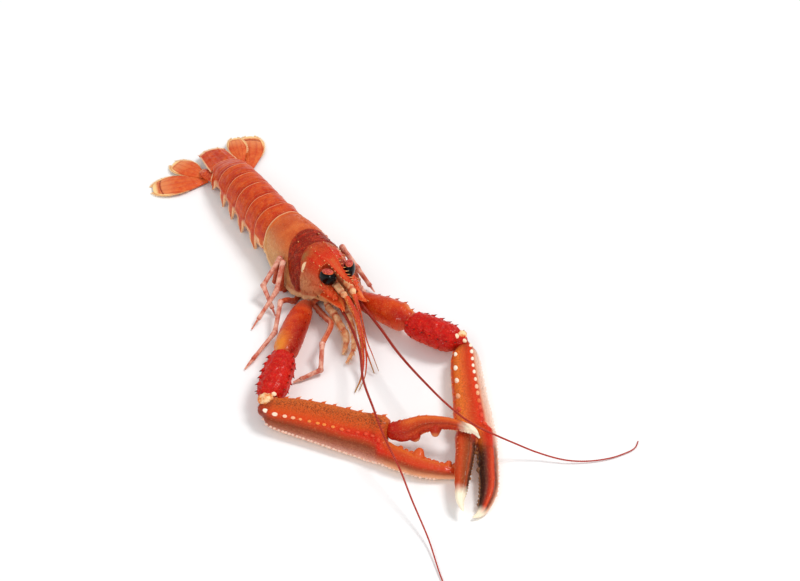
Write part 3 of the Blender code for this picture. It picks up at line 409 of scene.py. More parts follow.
# Fixed values of every shell's material, and the share of its coat that is laid on
SHELL = {"Specular_IOR_Level": 0.12, "Coat_Roughness": 0.09, "Subsurface_Weight": 0.05,
    "Subsurface_Radius": (1.0, 0.35, 0.2), "Subsurface_Scale": 0.0012}
COAT_SHARE = 0.3


def tint(red, green, blue):
    """Linear colour of screen values from 0 to 255, deepened a little because gloss adds white to it."""
    share = np.array((red, green, blue)) / 255
    linear = np.where(share <= 0.04045, share / 12.92, ((share + 0.055) / 1.055) ** 2.4)
    return tuple(float(v) for v in linear**COLOUR_DEPTH)


class Wire:
    """A socket that takes part in sums and products: each operator adds one Math node."""

    def __init__(self, shading, socket):
        self.shading = shading
        self.socket = socket

    def math(self, operation, *others):
        return self.shading.node("ShaderNodeMath", {"operation": operation}, (self, *others))

    def __add__(self, other):
        return self.math("ADD", other)

    def __sub__(self, other):
        return self.math("SUBTRACT", other)

    def __mul__(self, other):
        return self.math("MULTIPLY", other)

    def __truediv__(self, other):
        return self.math("DIVIDE", other)

    def __rsub__(self, other):
        return self.shading.node("ShaderNodeMath", {"operation": "SUBTRACT"}, (other, self))

    __radd__ = __add__
    __rmul__ = __mul__

    def between(self, low, high):
        """Zero at low and below, one at high and above, an S curve between; high may be the smaller one."""
        settings = {"interpolation_type": "SMOOTHSTEP", "clamp": True}
        inputs = {"Value": self, "From Min": low, "From Max": high}
        return self.shading.node("ShaderNodeMapRange", settings, inputs)

    def bell(self, middle, width):
        """One at the middle, nothing beyond the width on both sides."""
        return (self - middle).math("ABSOLUTE").between(width, 0.0)


class Shading:
    """A material under construction: its colour is painted in layers, mostly on patches of a size."""

    def __init__(self, name, patch_size=None):
        self.material = bpy.data.materials.new(name)
        self.material.use_nodes = True
        self.tree = self.material.node_tree
        self.object_place = None
        self.colour = None
        self.patches = self.noise(patch_size, 5.0, 0.6) if patch_size else None

    def node(self, kind, settings=None, inputs=(), output=0):
        """A node of one kind, its settings and then its sockets given; the wire of one of its outputs."""
        made = self.tree.nodes.new(kind)
        for key, value in (settings or {}).items():
            if key == "stops":
                set_stops(made.color_ramp.elements, value)
            else:
                setattr(made, key, value)
        pairs = inputs.items() if isinstance(inputs, dict) else enumerate(inputs)
        for key, value in pairs:
            self.feed(made.inputs[key], value)
        return Wire(self, made.outputs[output])

    def feed(self, socket, value):
        """Links a wire to the socket, or sets a constant on it."""
        if isinstance(value, Wire):
            self.tree.links.new(value.socket, socket)
        elif isinstance(value, tuple) and socket.type == "RGBA" and len(value) == 3:
            socket.default_value = (*value, 1.0)
        else:
            socket.default_value = value

    def marks(self, *names):
        """A wire for each mark of the shape."""
        return [self.node("ShaderNodeAttribute", {"attribute_name": name}, output=2) for name in names]

    def mark(self, name):
        """The wire of one mark."""
        return self.marks(name)[0]

    def tip(self, low, high):
        """Zero at the foot of a stud and one at its tip, turning over between two shares of its height."""
        return self.mark("tip").between(low, high)

    def turn(self):
        """Share of the way round a tube, from 0 to 1, starting at its inner edge and going over the top."""
        angle = self.mark("top").math("ARCTAN2", self.mark("inner"))
        return (angle / (2 * math.pi) + 1.0).math("FRACT")

    def place(self):
        """Object coordinates in millimetres."""
        if self.object_place is None:
            raw = self.node("ShaderNodeTexCoord", output=3)
            inputs = {0: raw, "Scale": 1 / MM}
            self.object_place = self.node("ShaderNodeVectorMath", {"operation": "SCALE"}, inputs)
        return self.object_place

    def noise(self, size, detail=3.0, roughness=0.5, stretch=None):
        """Noise from 0 to 1 whose patches are about size millimetres wide."""
        place = self.place()
        if stretch is not None:
            place = self.node("ShaderNodeMapping", {}, {"Vector": place, "Scale": stretch})
        inputs = {"Vector": place, "Scale": 1 / size, "Detail": detail, "Roughness": roughness}
        return self.node("ShaderNodeTexNoise", {}, inputs)

    def sway(self, amount):
        """The patches about zero, by which an edge wanders."""
        return (self.patches - 0.5) * amount

    def grains(self, size, smoothness=0.6):
        """Height of rounded grains about size millimetres apart: one in their middle, zero between them."""
        inputs = {"Vector": self.place(), "Scale": 1 / size, "Smoothness": smoothness}
        distance = self.node("ShaderNodeTexVoronoi", {"feature": "SMOOTH_F1"}, inputs)
        return distance.between(0.62, 0.05)

    def mix(self, mask, first, second):
        """The first colour where the mask is 0, the second where it is 1.

        A colour is a wire or three numbers: linear up to 1, or screen values up to 255, made linear here.
        """
        first, second = (c if isinstance(c, Wire) or max(c) <= 1 else tint(*c) for c in (first, second))
        return self.node("ShaderNodeMix", {"data_type": "RGBA"}, {"Factor": mask, 6: first, 7: second}, 2)

    def mottle(self, low, high, first, second):
        """Two colours in the material's patches."""
        return self.mix(self.patches.between(low, high), first, second)

    def paint(self, mask, colour):
        """Lays one more colour over those so far, where the mask is 1."""
        self.colour = self.mix(mask, self.colour, colour)

    def ramp(self, value, stops):
        """Colours between stops: rows of place and screen colour."""
        return self.node("ShaderNodeValToRGB", {"stops": stops}, (value,))

    def finish(self, roughness, height=None, depth=0.3, **fixed):
        """Sets colour, roughness, relief (a height of 0 to 1 times the depth in mm) and fixed values."""
        sockets = self.tree.nodes["Principled BSDF"].inputs
        self.feed(sockets["Base Color"], self.colour)
        self.feed(sockets["Roughness"], roughness)
        if height is not None:
            relief = {"Height": height, "Distance": depth * MM, "Strength": 1.0}
            self.feed(sockets["Normal"], self.node("ShaderNodeBump", {}, relief))
        for name, value in fixed.items():
            self.feed(sockets[name.replace("_", " ")], value)
        return self.material

    def wet(self, height, depth, roughness=0.34, coat=0.35):
        """Shell finish: pale specks of painted highlight, a rough base under a thin wet coat, and a little
        light let into it.
        """
        uneven = self.noise(2.2).between(0.25, 0.75)
        # Pale specks laid over every shell's colour are painted highlights: small glints on its wet grain.
        painted_glints = self.noise(0.55, 2.0).between(0.56, 0.76)
        self.paint(painted_glints * 0.24, (255, 206, 140))
        return self.finish(roughness + uneven * 0.14, height, depth, Coat_Weight=coat * COAT_SHARE, **SHELL)


def set_stops(elements, stops):
    """Gives a new colour ramp its stops."""
    for place, *_ in stops[2:]:
        elements.new(place)
    for element, (place, *screen) in zip(elements, stops):
        element.position = place
        element.color = (*tint(*screen), 1.0)


def once(build):
    """Keeps the material that a function makes, so that pieces share it."""
    kept = {}

    def ready(*arguments):
        if arguments not in kept:
            kept[arguments] = build(*arguments)
        return kept[arguments]

    return ready


@once
def carapace_finish():
    """Orange back and red front, tan flank and cheek, a dark red band along the groove, cream rims."""
    shell = Shading("carapace_shell", 7.0)
    rise, front, groove = shell.marks("rise", "front", "groove")
    fine = shell.noise(1.3, 4.0, 0.6)
    streaks = shell.noise(1.6, 4.0, 0.6, (0.35, 1.0, 0.5))
    flank = shell.mix(fine.between(0.3, 0.75), (206, 142, 88), (222, 172, 118))
    back = shell.mottle(0.35, 0.65, (204, 92, 44), (218, 116, 60))
    rear = shell.mix((rise + shell.sway(0.4)).between(0.4, 0.95), flank, back)
    rear = shell.mix(streaks.between(0.5, 0.75) * 0.3, rear, (176, 92, 52))
    cheek = shell.mix(streaks.between(0.35, 0.65), (180, 106, 70), (220, 156, 112))
    brow = shell.mottle(0.35, 0.7, (188, 60, 24), (206, 90, 42))
    brow = shell.mix(streaks.between(0.5, 0.7) * 0.5, brow, (168, 44, 20))
    shell.colour = shell.mix((rise + shell.sway(0.45)).between(0.42, 0.82), cheek, brow)
    olive = front.bell(0.71, 0.09) * rise.bell(0.88, 0.13) * shell.patches.between(0.25, 0.5)
    shell.paint(olive * 0.8, (156, 112, 62))
    shell.paint(streaks.between(0.5, 0.68) * rise.between(0.8, 0.5) * 0.5, (172, 78, 46))
    ridges = (rise.bell(0.978, 0.014) + rise.bell(0.889, 0.03)) * front.between(0.7, 0.82)
    shell.paint(ridges * 0.8, (206, 30, 10))
    shell.paint(front.between(0.72, 0.98) * rise.between(0.62, 0.94), (216, 48, 18))
    shell.paint(front.between(0.86, 1.0) * rise.between(0.1, 0.5) * 0.6, (216, 84, 42))
    shell.colour = shell.mix(front.between(0.58, 0.67), rear, shell.colour)
    band = (groove + shell.sway(0.5) + (streaks - 0.5) * 0.3).between(0.28, 0.8)
    shell.paint(band * 0.94, shell.mix(streaks.between(0.42, 0.66), (132, 20, 8), (176, 44, 18)))
    patch = front.bell(0.775, 0.05) * rise.bell(0.72, 0.2) + shell.sway(0.8) + (fine - 0.5) * 0.4
    shell.paint(patch.between(0.4, 0.66), (246, 214, 174))
    shell.paint(fine.between(0.64, 0.78) * 0.3, (240, 180, 120))
    shell.paint(shell.mark("channel") * 0.8, shell.mix(streaks, (186, 64, 30), (222, 122, 66)))
    shell.paint(rise.between(0.22, 0.04) * front.between(0.45, 0.75) * 0.8, (200, 92, 62))
    shell.paint(shell.mark("rim") * 0.7, tuple(bpy.context.scene.lobster_colours.cream))
    shell.paint(shell.tip(0.35, 0.9) * groove.between(0.5, 0.0) * 0.35, (250, 200, 130))
    shell.paint(shell.tip(0.3, 0.8) * shell.mark("thorn"), (250, 206, 140))
    shell.paint(shell.mark("under"), (226, 170, 120))
    return shell.wet(shell.grains(0.9) * 0.55 + fine * 0.45, 0.16, 0.36, 0.25)


@once
def tail_finish():
    """Orange rings of the abdomen: darker red at each front, a pale line at the rear edge, cream pleura."""
    shell = Shading("tail_shell", 5.0)
    along, rise = shell.marks("along", "rise")
    fine = shell.noise(1.1, 4.0, 0.6)
    shell.colour = shell.mottle(0.34, 0.66, (200, 62, 22), (218, 96, 38))
    shell.paint(shell.noise(2.4, 4.0).between(0.45, 0.7) * 0.5, (186, 74, 30))
    shell.paint((along + shell.sway(0.3)).between(0.26, 0.06) * 0.8, (176, 38, 18))
    shell.paint(shell.mark("groove") * 0.22, (166, 40, 18))
    shell.paint((rise + shell.sway(0.3)).between(0.36, 0.12) * 0.55, (222, 128, 72))
    shell.paint(fine.between(0.62, 0.8) * 0.35, (242, 162, 104))
    shell.paint(shell.mark("rim") * 0.85, (246, 202, 158))
    shell.paint(shell.tip(0.4, 0.9) * 0.7, (250, 200, 140))
    shell.paint(shell.mark("under") * rise.between(0.3, 0.36), (224, 168, 130))
    return shell.wet(fine * 0.6 + shell.grains(0.7) * 0.3, 0.12, 0.3, 0.4)


@once
def fin_finish():
    """Thin blades of the tail fan: red-orange middle, darker suture, a pale thin rim."""
    shell = Shading("tail_fin", 4.0)
    along, rim = shell.marks("along", "rim")
    streaks = shell.noise(0.9, 3.0, 0.6)
    shell.colour = shell.mottle(0.3, 0.7, (214, 86, 42), (226, 118, 62))
    shell.paint(along.between(0.45, 0.85) * 0.7, (236, 160, 108))
    shell.paint(shell.mark("ridge") * 0.25, (190, 54, 26))
    shell.paint(shell.mark("suture"), (150, 26, 16))
    shell.paint(streaks.between(0.55, 0.8) * 0.25, (244, 180, 120))
    shell.paint(rim.bell(0.3, 0.28) * 0.5, (184, 66, 34))
    shell.paint((rim + (streaks - 0.5) * 0.3).between(0.4, 1.0), (250, 214, 156))
    return shell.wet(streaks, 0.1, 0.34, 0.3)


def plain(title, size, dark, light, low=0.3):
    """A material that goes from a dark to a light colour with a noise, and that noise."""
    shell = Shading(title)
    fine = shell.noise(size, 4.0)
    shell.colour = shell.mix(fine.between(low, 0.7), dark, light)
    return shell, fine


@once
def knob_finish():
    """Glossy red joint of the tail fan."""
    shell, fine = plain("fin_joint", 1.4, (196, 60, 30), (220, 104, 56), 0.35)
    shell.paint(shell.mark("along").between(0.8, 1.0) * 0.6, (242, 190, 140))
    return shell.wet(fine, 0.08, 0.2, 0.6)


@once
def seta_finish():
    """Fine pale hairs."""
    hair = Shading("hair")
    hair.colour = hair.mix(hair.mark("tip"), (226, 160, 96), (250, 226, 180))
    return hair.finish(0.5, Specular_IOR_Level=0.3)


# Colours round a claw, the way round from the inner edge over the back ridge to the outer edge and below:
# rows of place and screen colour.
PALM_STOPS = {
    "right": ((0.0, 222, 116, 54), (0.06, 216, 112, 48), (0.12, 208, 102, 44), (0.19, 214, 92, 34),
        (0.25, 218, 76, 26), (0.3, 192, 72, 32), (0.35, 148, 68, 36), (0.4, 178, 108, 84),
        (0.45, 216, 160, 144), (0.52, 240, 200, 176), (0.7, 244, 206, 168), (0.9, 232, 160, 104),
        (1.0, 216, 100, 50)),
    "left": ((0.0, 214, 74, 24), (0.045, 232, 122, 46), (0.09, 238, 128, 50), (0.14, 224, 102, 40),
        (0.19, 208, 68, 24), (0.235, 222, 64, 18), (0.265, 190, 70, 30), (0.29, 222, 140, 100),
        (0.34, 236, 190, 168), (0.42, 250, 224, 208), (0.52, 250, 226, 206), (0.7, 244, 206, 168),
        (0.9, 232, 150, 90), (1.0, 214, 74, 24)),
}
FINGER_STOPS = {
    "right": ((0.0, 214, 96, 44), (0.08, 222, 116, 50), (0.16, 208, 84, 34), (0.25, 206, 66, 26),
        (0.31, 176, 66, 30), (0.37, 170, 90, 54), (0.44, 226, 158, 120), (0.55, 244, 206, 176),
        (0.8, 242, 190, 146), (1.0, 214, 96, 44)),
    "left": ((0.0, 60, 22, 16), (0.1, 70, 28, 20), (0.15, 120, 52, 38), (0.19, 172, 50, 28),
        (0.235, 212, 80, 42), (0.28, 202, 66, 22), (0.315, 126, 48, 30), (0.36, 150, 82, 56),
        (0.42, 226, 170, 144), (0.52, 248, 214, 190), (0.8, 240, 180, 136), (1.0, 60, 22, 16)),
}
DACTYL_STOPS = {
    "right": ((0.0, 214, 96, 38), (0.12, 216, 106, 44), (0.2, 196, 74, 32), (0.28, 172, 60, 28),
        (0.36, 200, 72, 30), (0.45, 184, 50, 24), (0.52, 190, 54, 26), (0.62, 232, 160, 112),
        (0.85, 238, 170, 120), (1.0, 222, 110, 44)),
    "left": ((0.0, 196, 70, 28), (0.12, 196, 76, 30), (0.2, 168, 76, 34), (0.26, 140, 66, 30),
        (0.31, 186, 80, 34), (0.37, 100, 46, 24), (0.43, 66, 30, 18), (0.5, 88, 36, 20),
        (0.58, 226, 150, 104), (0.85, 236, 164, 112), (1.0, 196, 70, 28)),
}


@once
def propodus_finish(name):
    """The claw's hand and fixed finger."""
    shell = Shading(f"claw_hand_{name}", 5.5)
    right = name == "right"
    along, turn = shell.mark("along"), shell.turn()
    fine = shell.noise(1.0, 4.0, 0.65)
    wander = turn + shell.sway(0.03) + along * (0.06 if right else 0.0)
    shell.colour = shell.ramp(wander, PALM_STOPS[name])
    shell.paint((along + shell.sway(0.1)).between(0.1, 0.0) * 0.8, (150, 44, 26))
    shell.paint(along.between(0.25, 0.5) * wander.bell(0.26, 0.06) * 0.8, (206, 34, 14))
    speckles = shell.noise(0.7, 3.0, 0.6).between(0.46, 0.6)
    shell.paint(speckles * (turn.bell(0.1, 0.14) * (0.9 if right else 0.55) + turn.bell(0.36, 0.08) * 0.5),
                (124, 58, 28))
    shell.paint((along + shell.sway(0.06)).between(0.56, 0.7), shell.ramp(wander, FINGER_STOPS[name]))
    shell.paint(along.bell(0.6, 0.07) * turn.bell(0.22, 0.2) * 0.7, (206, 38, 16))
    # Pale specks on the hand's grain: painted highlight, small glints on the granules.
    shell.paint(fine.between(0.6, 0.8) * 0.25, (246, 176, 120))
    first = 0.04 if right else 0.2
    beads = shell.mix(along.between(first, first + 0.22), (254, 240, 220), (240, 150, 76))
    shell.paint(shell.mark("bead"), shell.mix(along.between(0.34, 0.44), beads, (226, 84, 56)))
    shell.paint(shell.mark("pearl") * 0.8, (248, 212, 194))
    shell.paint(shell.mark("thorn") * shell.tip(0.3, 0.9), (246, 190, 130))
    shell.paint(along.between(0.93, 0.975), (252, 238, 214))
    return shell.wet(shell.grains(0.8) * 0.6 + fine * 0.4, 0.17, 0.34, 0.3)


@once
def dactyl_finish(name):
    """The claw's moving finger: red at the hinge, orange with a brown furrow, a white tip."""
    shell = Shading(f"claw_finger_{name}", 4.5)
    along, turn = shell.mark("along"), shell.turn()
    fine = shell.noise(0.9, 4.0, 0.65)
    shell.colour = shell.ramp(turn + shell.sway(0.04), DACTYL_STOPS[name])
    shell.paint((along + shell.sway(0.1)).between(0.3, 0.08), (186, 34, 18))
    shell.paint(fine.between(0.56, 0.8) * 0.25, (250, 190, 130))
    shell.paint(shell.tip(0.3, 0.9) * 0.6, (244, 180, 120))
    shell.paint((along + shell.sway(0.08)).between(0.72, 0.86), (252, 240, 216))
    return shell.wet(shell.grains(0.8) * 0.5 + fine * 0.5, 0.14, 0.32, 0.35)


@once
def carpus_finish(name):
    """Crimson wrist, grainy and wet, with dark thorns and a pale knuckle at its far end."""
    shell = Shading(f"claw_wrist_{name}", 4.0)
    along, turn = shell.mark("along"), shell.turn()
    fine = shell.noise(0.8, 4.0, 0.65)
    shell.colour = shell.mottle(0.35, 0.7, (190, 14, 10), (214, 30, 14))
    shell.paint(fine.between(0.42, 0.25), (140, 8, 8))
    shell.paint(turn.bell(0.75, 0.28) * 0.8, (226, 120, 76))
    shell.paint((along + shell.sway(0.08)).between(0.16, 0.08) * 0.85, (214, 140, 100))
    shell.paint(shell.mark("bead"), (252, 226, 196))
    shell.paint(shell.mark("knuckle"), shell.mottle(0.4, 0.6, (248, 216, 170), (226, 132, 60)))
    shell.paint(shell.mark("thorn") * shell.tip(0.25, 0.8), (92, 26, 18))
    return shell.wet(shell.grains(1.1, 0.4) * 0.7 + fine * 0.3, 0.16, 0.34, 0.3)


@once
def merus_finish(name):
    """Upper arm: orange and red, yellow towards the far end, thorns along its edges."""
    shell = Shading(f"claw_arm_{name}", 6.0)
    along, turn = shell.mark("along"), shell.turn()
    fine = shell.noise(1.0, 4.0, 0.65)
    shell.colour = shell.mottle(0.35, 0.7, (196, 50, 12), (216, 84, 24))
    shell.paint(along.between(0.34, 0.05) * 0.85, (184, 92, 66))
    far = (along + shell.sway(0.2)).between(0.62, 0.9)
    if name == "right":
        shell.paint(far * turn.bell(0.14, 0.26), (236, 150, 60))
        shell.paint(turn.bell(0.4, 0.2) * along.between(0.15, 0.6) * 0.9, (160, 16, 10))
    else:
        shell.paint(turn.bell(0.12, 0.14) * far * 0.9, (176, 18, 14))
        shell.paint(turn.bell(0.36, 0.12) * along.between(0.7, 0.9) * 0.7, (232, 140, 60))
    shell.paint(turn.bell(0.75, 0.3) * 0.8, (232, 150, 110))
    shell.paint(fine.between(0.55, 0.8) * 0.3, (248, 176, 116))
    shell.paint(shell.tip(0.3, 0.9) * 0.85, (120, 30, 20))
    return shell.wet(shell.grains(0.9) * 0.5 + fine * 0.5, 0.16, 0.3, 0.4)


@once
def limb_finish():
    """Thin limbs: pinkish orange, redder joints, a faint pale stripe that is a painted highlight."""
    shell = Shading("limb_shell", 4.0)
    fine = shell.noise(0.8, 3.0, 0.6)
    shell.colour = shell.mottle(0.3, 0.7, (182, 62, 34), (214, 118, 80))
    shell.paint(shell.mark("pale") * 0.85, shell.mottle(0.35, 0.65, (204, 112, 92), (240, 194, 174)))
    # A pale stripe along one side of each limb, a quarter of the way round: painted highlight.
    shell.paint(shell.turn().bell(0.25, 0.1) * 0.5, (240, 188, 160))
    shell.paint(fine.between(0.55, 0.8) * 0.3, (240, 196, 170))
    shell.paint(shell.mark("joint") * 0.8, (172, 44, 28))
    shell.paint(shell.tip(0.2, 0.8) * 0.6, (250, 210, 160))
    return shell.wet(fine, 0.08, 0.32, 0.35)


@once
def mouth_finish():
    """Mouth limbs and feeler bases: cream with orange patches."""
    shell = Shading("mouth_shell", 3.5)
    fine = shell.noise(0.7, 3.0, 0.6)
    shell.colour = shell.mottle(0.35, 0.65, (244, 206, 160), (222, 136, 90))
    shell.paint(shell.mark("joint") * 0.7, (198, 76, 46))
    shell.paint(fine.between(0.55, 0.8) * 0.3, (252, 220, 180))
    return shell.wet(fine, 0.08, 0.34, 0.3)


@once
def feeler_finish():
    """Ringed dark red thread with fine paler joints."""
    shell = Shading("feeler_thread")
    along, bands = shell.marks("along", "band")
    shell.colour = shell.mix(along.between(0.0, 0.8), (150, 34, 26), (176, 52, 40))
    shell.paint(bands.between(0.6, 1.0) * 0.55, (224, 128, 104))
    return shell.wet(bands, 0.06, 0.3, 0.4)


@once
def antennule_finish():
    """Short feelers: red with a yellowish spotted edge and olive tips."""
    shell = Shading("short_feeler_thread")
    along, bands, inner = shell.marks("along", "band", "inner")
    spots = shell.noise(0.9, 2.0).between(0.45, 0.6) * inner.between(0.0, 0.7)
    shell.colour = shell.mix(along.between(0.0, 0.15), (220, 78, 36), (196, 58, 30))
    shell.paint(spots * 0.8, (232, 178, 96))
    shell.paint(along.between(0.75, 1.0), (172, 132, 62))
    shell.paint(bands.between(0.6, 1.0) * 0.3, (230, 150, 110))
    return shell.wet(bands, 0.06, 0.34, 0.3)


@once
def eye_finish():
    """Glossy black eye with a fine net of facets."""
    eye = Shading("eye_black")
    facets = eye.grains(0.35, 0.2)
    eye.colour = eye.mix(eye.noise(2.0).between(0.4, 0.8), (4, 3, 4), (18, 10, 12))
    return eye.finish(0.06 + facets * 0.05, facets, 0.01, Specular_IOR_Level=0.5, IOR=1.28)


@once
def stalk_finish():
    """Reddish pink eyestalk, orange at its hood's rim."""
    shell, fine = plain("eyestalk_shell", 1.0, (176, 52, 46), (212, 104, 92))
    shell.paint(shell.mark("edge") * fine.between(0.3, 0.6), (226, 110, 58))
    return shell.wet(fine, 0.08, 0.24, 0.4)


@once
def scale_finish():
    """Red-orange antennal scale with ridges and a pale edge."""
    shell, fine = plain("scale_shell", 1.0, (210, 60, 26), (230, 104, 50))
    shell.paint(shell.mark("ridge") * 0.7, (240, 150, 84))
    shell.paint(shell.tip(0.4, 0.9), (246, 200, 140))
    return shell.wet(fine, 0.08, 0.3, 0.4)


@once
def under_finish():
    """Pale tan underside."""
    shell, fine = plain("underside", 1.6, (206, 142, 100), (234, 186, 146))
    return shell.wet(fine, 0.1, 0.4, 0.2)


# Carapace

FLAP_THICKNESS = 1.3
BELLY_LEVEL = 9.5
CARAPACE_LENGTH = 60.0
ROSTRUM_HALF_WIDTH = 4.2
ROSTRUM_ROOT = 10.0
SIZE_SPREAD = (0.9, 1.15)
GRANULE_COUNT = 520
CARAPACE_ROWS, CARAPACE_COLUMNS = 150, 181
# Knots of smooth curves: place along the body or share of the height, and value
ROSTRUM_LIFTS = ((50, 34.3), (55, 35.4), (60, 35.4), (66, 34.2), (72, 33.2), (78, 33.6), (82, 34.6))
HALF_WIDTH_KNOTS = ((0, 15.4), (-12, 17.6), (-28, 19.0), (-42, 18.6), (-54, 15.2), (-60, 12.2), (-66, 8.5))
TOP_KNOTS = ((0, 31.6), (-10, 33.8), (-24, 35.2), (-33, 34.4), (-42, 36.0), (-54, 36.4), (-66, 35.5))
MARGIN_KNOTS = ((0, 8.0), (-8, 5.0), (-20, 3.8), (-40, 3.8), (-50, 6.0), (-58, 9.2), (-66, 13.0))
FRONT_KNOTS = ((0.0, 56.5), (0.2, 61.5), (0.4, 64.5), (0.55, 62.0), (0.7, 58.8), (0.85, 58.2), (1.0, 60.0))
GROOVE_KNOTS = ((0.0, -47.0), (0.25, -46.6), (0.45, -46.0), (0.65, -44.4), (0.8, -41.4), (0.92, -38.8),
                (1.0, -37.2))
BAND_WIDTH_KNOTS = ((0.0, 2.5), (0.25, 6.4), (0.45, 10.5), (0.65, 12.6), (1.0, 13.4))
# Rostrum teeth: share of its length, and length
ROSTRUM_TEETH = ((0.32, 2.4), (0.41, 2.9), (0.50, 3.4), (0.59, 3.8), (0.68, 3.8), (0.77, 3.4), (0.86, 2.8),
    (0.93, 2.0))
# Spikes on the carapace: y, turn, lean, length, radius
CARAPACE_SPIKES = ((-41.0, 0.13, 1.2, 1.2, 0.8), (-46.0, 0.14, 1.2, 1.5, 0.8), (-51.0, 0.15, 1.4, 1.8, 0.9),
    (-56.0, 0.16, 1.6, 2.0, 0.9), (-51.5, 0.34, 1.2, 1.6, 0.8), (-56.0, 0.33, 1.6, 2.6, 1.0),
    (-30.0, 0.22, 1.0, 1.5, 0.9), (-48.5, 0.60, 1.0, 1.3, 0.8), (-61.2, 0.70, 3.5, 3.6, 1.2))


def sizes():
    """The sizes that a user may change."""
    return bpy.context.scene.lobster_sizes


def rise_of(turn):
    """Height share on the carapace: the cosine of the turn from the back to a margin, drawn out a little."""
    return np.maximum(0.0, np.cos(np.abs(turn) * math.pi / 2)) ** 0.78


def groove_place(rise):
    """Y of the cervical groove at a share of the height: far back on top, further forward on the flank."""
    return smooth(rise, GROOVE_KNOTS)


def band_share(y, rise):
    """One in the dark band, which reaches from the groove backwards by a width that grows with the height."""
    behind = y - groove_place(rise)
    width = smooth(rise, BAND_WIDTH_KNOTS)
    return step(behind, -1.4, 0.8) * step(behind, width + 2.2, width - 2.2) * step(rise, 0.02, 0.15)


def carapace_point(y, turn):
    """Points of the carapace: half widths, tops and margins follow smooth curves over y, in an arch."""
    half, top, low = smooth(y, HALF_WIDTH_KNOTS), smooth(y, TOP_KNOTS), smooth(y, MARGIN_KNOTS)
    rise = rise_of(turn)
    out = np.sin(np.abs(turn) * math.pi / 2) ** 0.92
    dip = sizes().groove_depth / MM * bell(y, groove_place(rise), 2.2)
    return np.stack([np.sign(turn) * (half - dip) * out, y + 0 * turn, low + (top - low - dip) * rise], -1)


def carapace_relief(points, y, turn, rise):
    """Heights above the arch, a sum of steps, bells and ripples: rims, grooves, ridges and cheeks."""
    turn = np.abs(turn)
    behind = step(y, -34.0, -30.0)
    ahead = 1 - behind
    relief = 0.3 * step(y, -1.9, -1.2) - 0.4 * bell(y, -2.7, 0.8)
    relief += 0.3 * step(turn, 0.955, 0.975) - 0.35 * bell(turn, 0.935, 0.02)
    relief -= 0.2 * bell(turn, 0.17 + 0.05 * step(y, -30, 0), 0.04) * behind * step(y, -2.0, -6.0)
    relief -= 0.24 * bell(y, groove_place(rise) + 9.0 * rise, 0.9) * step(rise, 0.55, 0.75)
    relief += 0.5 * bell(turn, 0.15, 0.035) * ahead * step(y, -38.0, -42.0)
    relief += 0.35 * bell(turn, 0.34, 0.04) * step(y, -47.0, -50.0)
    relief -= 0.6 * bell(rise, 0.52 + 0.012 * (y + 50), 0.05) * step(y, -43.0, -47.0)
    relief += 0.3 * ripple(points * (0.5, 1.0, 0.45), 4.2, 5) * step(rise, 0.8, 0.45) * ahead
    return relief + 0.1 * ripple(points, 9.0, 3)


def carapace_shape():
    """The arch from its rear edge to a front edge that a smooth curve over the height gives, closed below.

    The inner grid is the flap's thickness inside the margins, and level with the belly between them.
    """
    turn = np.linspace(-1, 1, CARAPACE_COLUMNS)[None]
    share = np.linspace(0, 1, CARAPACE_ROWS)[:, None]
    y = -smooth(rise_of(turn), FRONT_KNOTS) * share
    turn, rise = turn + 0 * share, rise_of(turn) + 0 * share
    outer = carapace_point(y, turn)
    outer = pushed(outer, carapace_relief(outer, y, turn, rise))
    margin = carapace_point(y, np.where(turn < 0, -1.0, 1.0))
    inside = (np.abs(margin[..., 0]) - FLAP_THICKNESS) * np.minimum(1.0, np.abs(turn) * 1.12)
    level = np.where(np.abs(turn) < 0.95, BELLY_LEVEL, outer[..., 2] + 0.4)
    inner = np.stack([np.sign(turn) * inside, y, level], -1)
    rim = np.maximum(step(y, -1.2, -0.7) * 0.8, step(np.abs(turn), 0.955, 0.975))
    return skin(outer, inner, rim=rim, **shell_marks(y, rise))


def shell_marks(y, rise):
    """Marks of a place on the carapace: its height share, how far forward it is, and the dark band."""
    return {"rise": rise, "front": y / -CARAPACE_LENGTH, "groove": band_share(y, rise)}


def carapace_outward(y, turn):
    """Outward direction: the cross product of small steps along the body and round it."""
    along = carapace_point(y - 0.5, turn) - carapace_point(y + 0.5, turn)
    around = carapace_point(y, turn + 0.01) - carapace_point(y, turn - 0.01)
    return unit(np.cross(along, around))


def rostrum_rows(shares):
    """Rostrum, a flat pointed blade that dips a little and turns up at its tip: rows of place and sizes."""
    length = sizes().rostrum_length / MM
    y = ROSTRUM_ROOT - CARAPACE_LENGTH - (length + ROSTRUM_ROOT) * shares
    wide = ROSTRUM_HALF_WIDTH * (1 - shares) ** 0.8 + 0.35
    return np.stack([0 * shares, y, smooth(-y, ROSTRUM_LIFTS), wide, 1.5 - 0.9 * shares], 1)


def rostrum_shape():
    """The blade: its section has a raised edge on each side and a channel between them."""
    across, lift = round_section(48).T
    upper = lift > 0
    ridge = 0.55 * bell(np.abs(across), 0.82, 0.2) * upper
    section = np.stack([across, lift * np.where(upper, 0.55, 1.0) + ridge], 1)
    rings = rings_along(rostrum_rows(np.linspace(0, 1, 20)), section, 70, ends=(0.3, 0.6))
    return tube(rings, rise=1.0, front=1.0, channel=bell(across, 0, 0.42) * upper)


def rostrum_teeth(side):
    """Thorns along an edge of the rostrum, set a little inside it and leaning forwards and outwards."""
    shares, lengths = np.array(ROSTRUM_TEETH).T
    rows = rostrum_rows(shares)
    places = rows[:, :3] + np.stack([side * (rows[:, 3] - 0.3), 0 * shares, 0 * shares], 1)
    size = RANDOM.uniform(*SIZE_SPREAD, len(shares))
    return studs(places, (side * 0.5, -1.0, 0.42), lengths * size, 0.75 * size, THORN, sides=10,
                 bend=(0, -0.1, 0.2), rise=1.0, front=1.0, thorn=1.0)


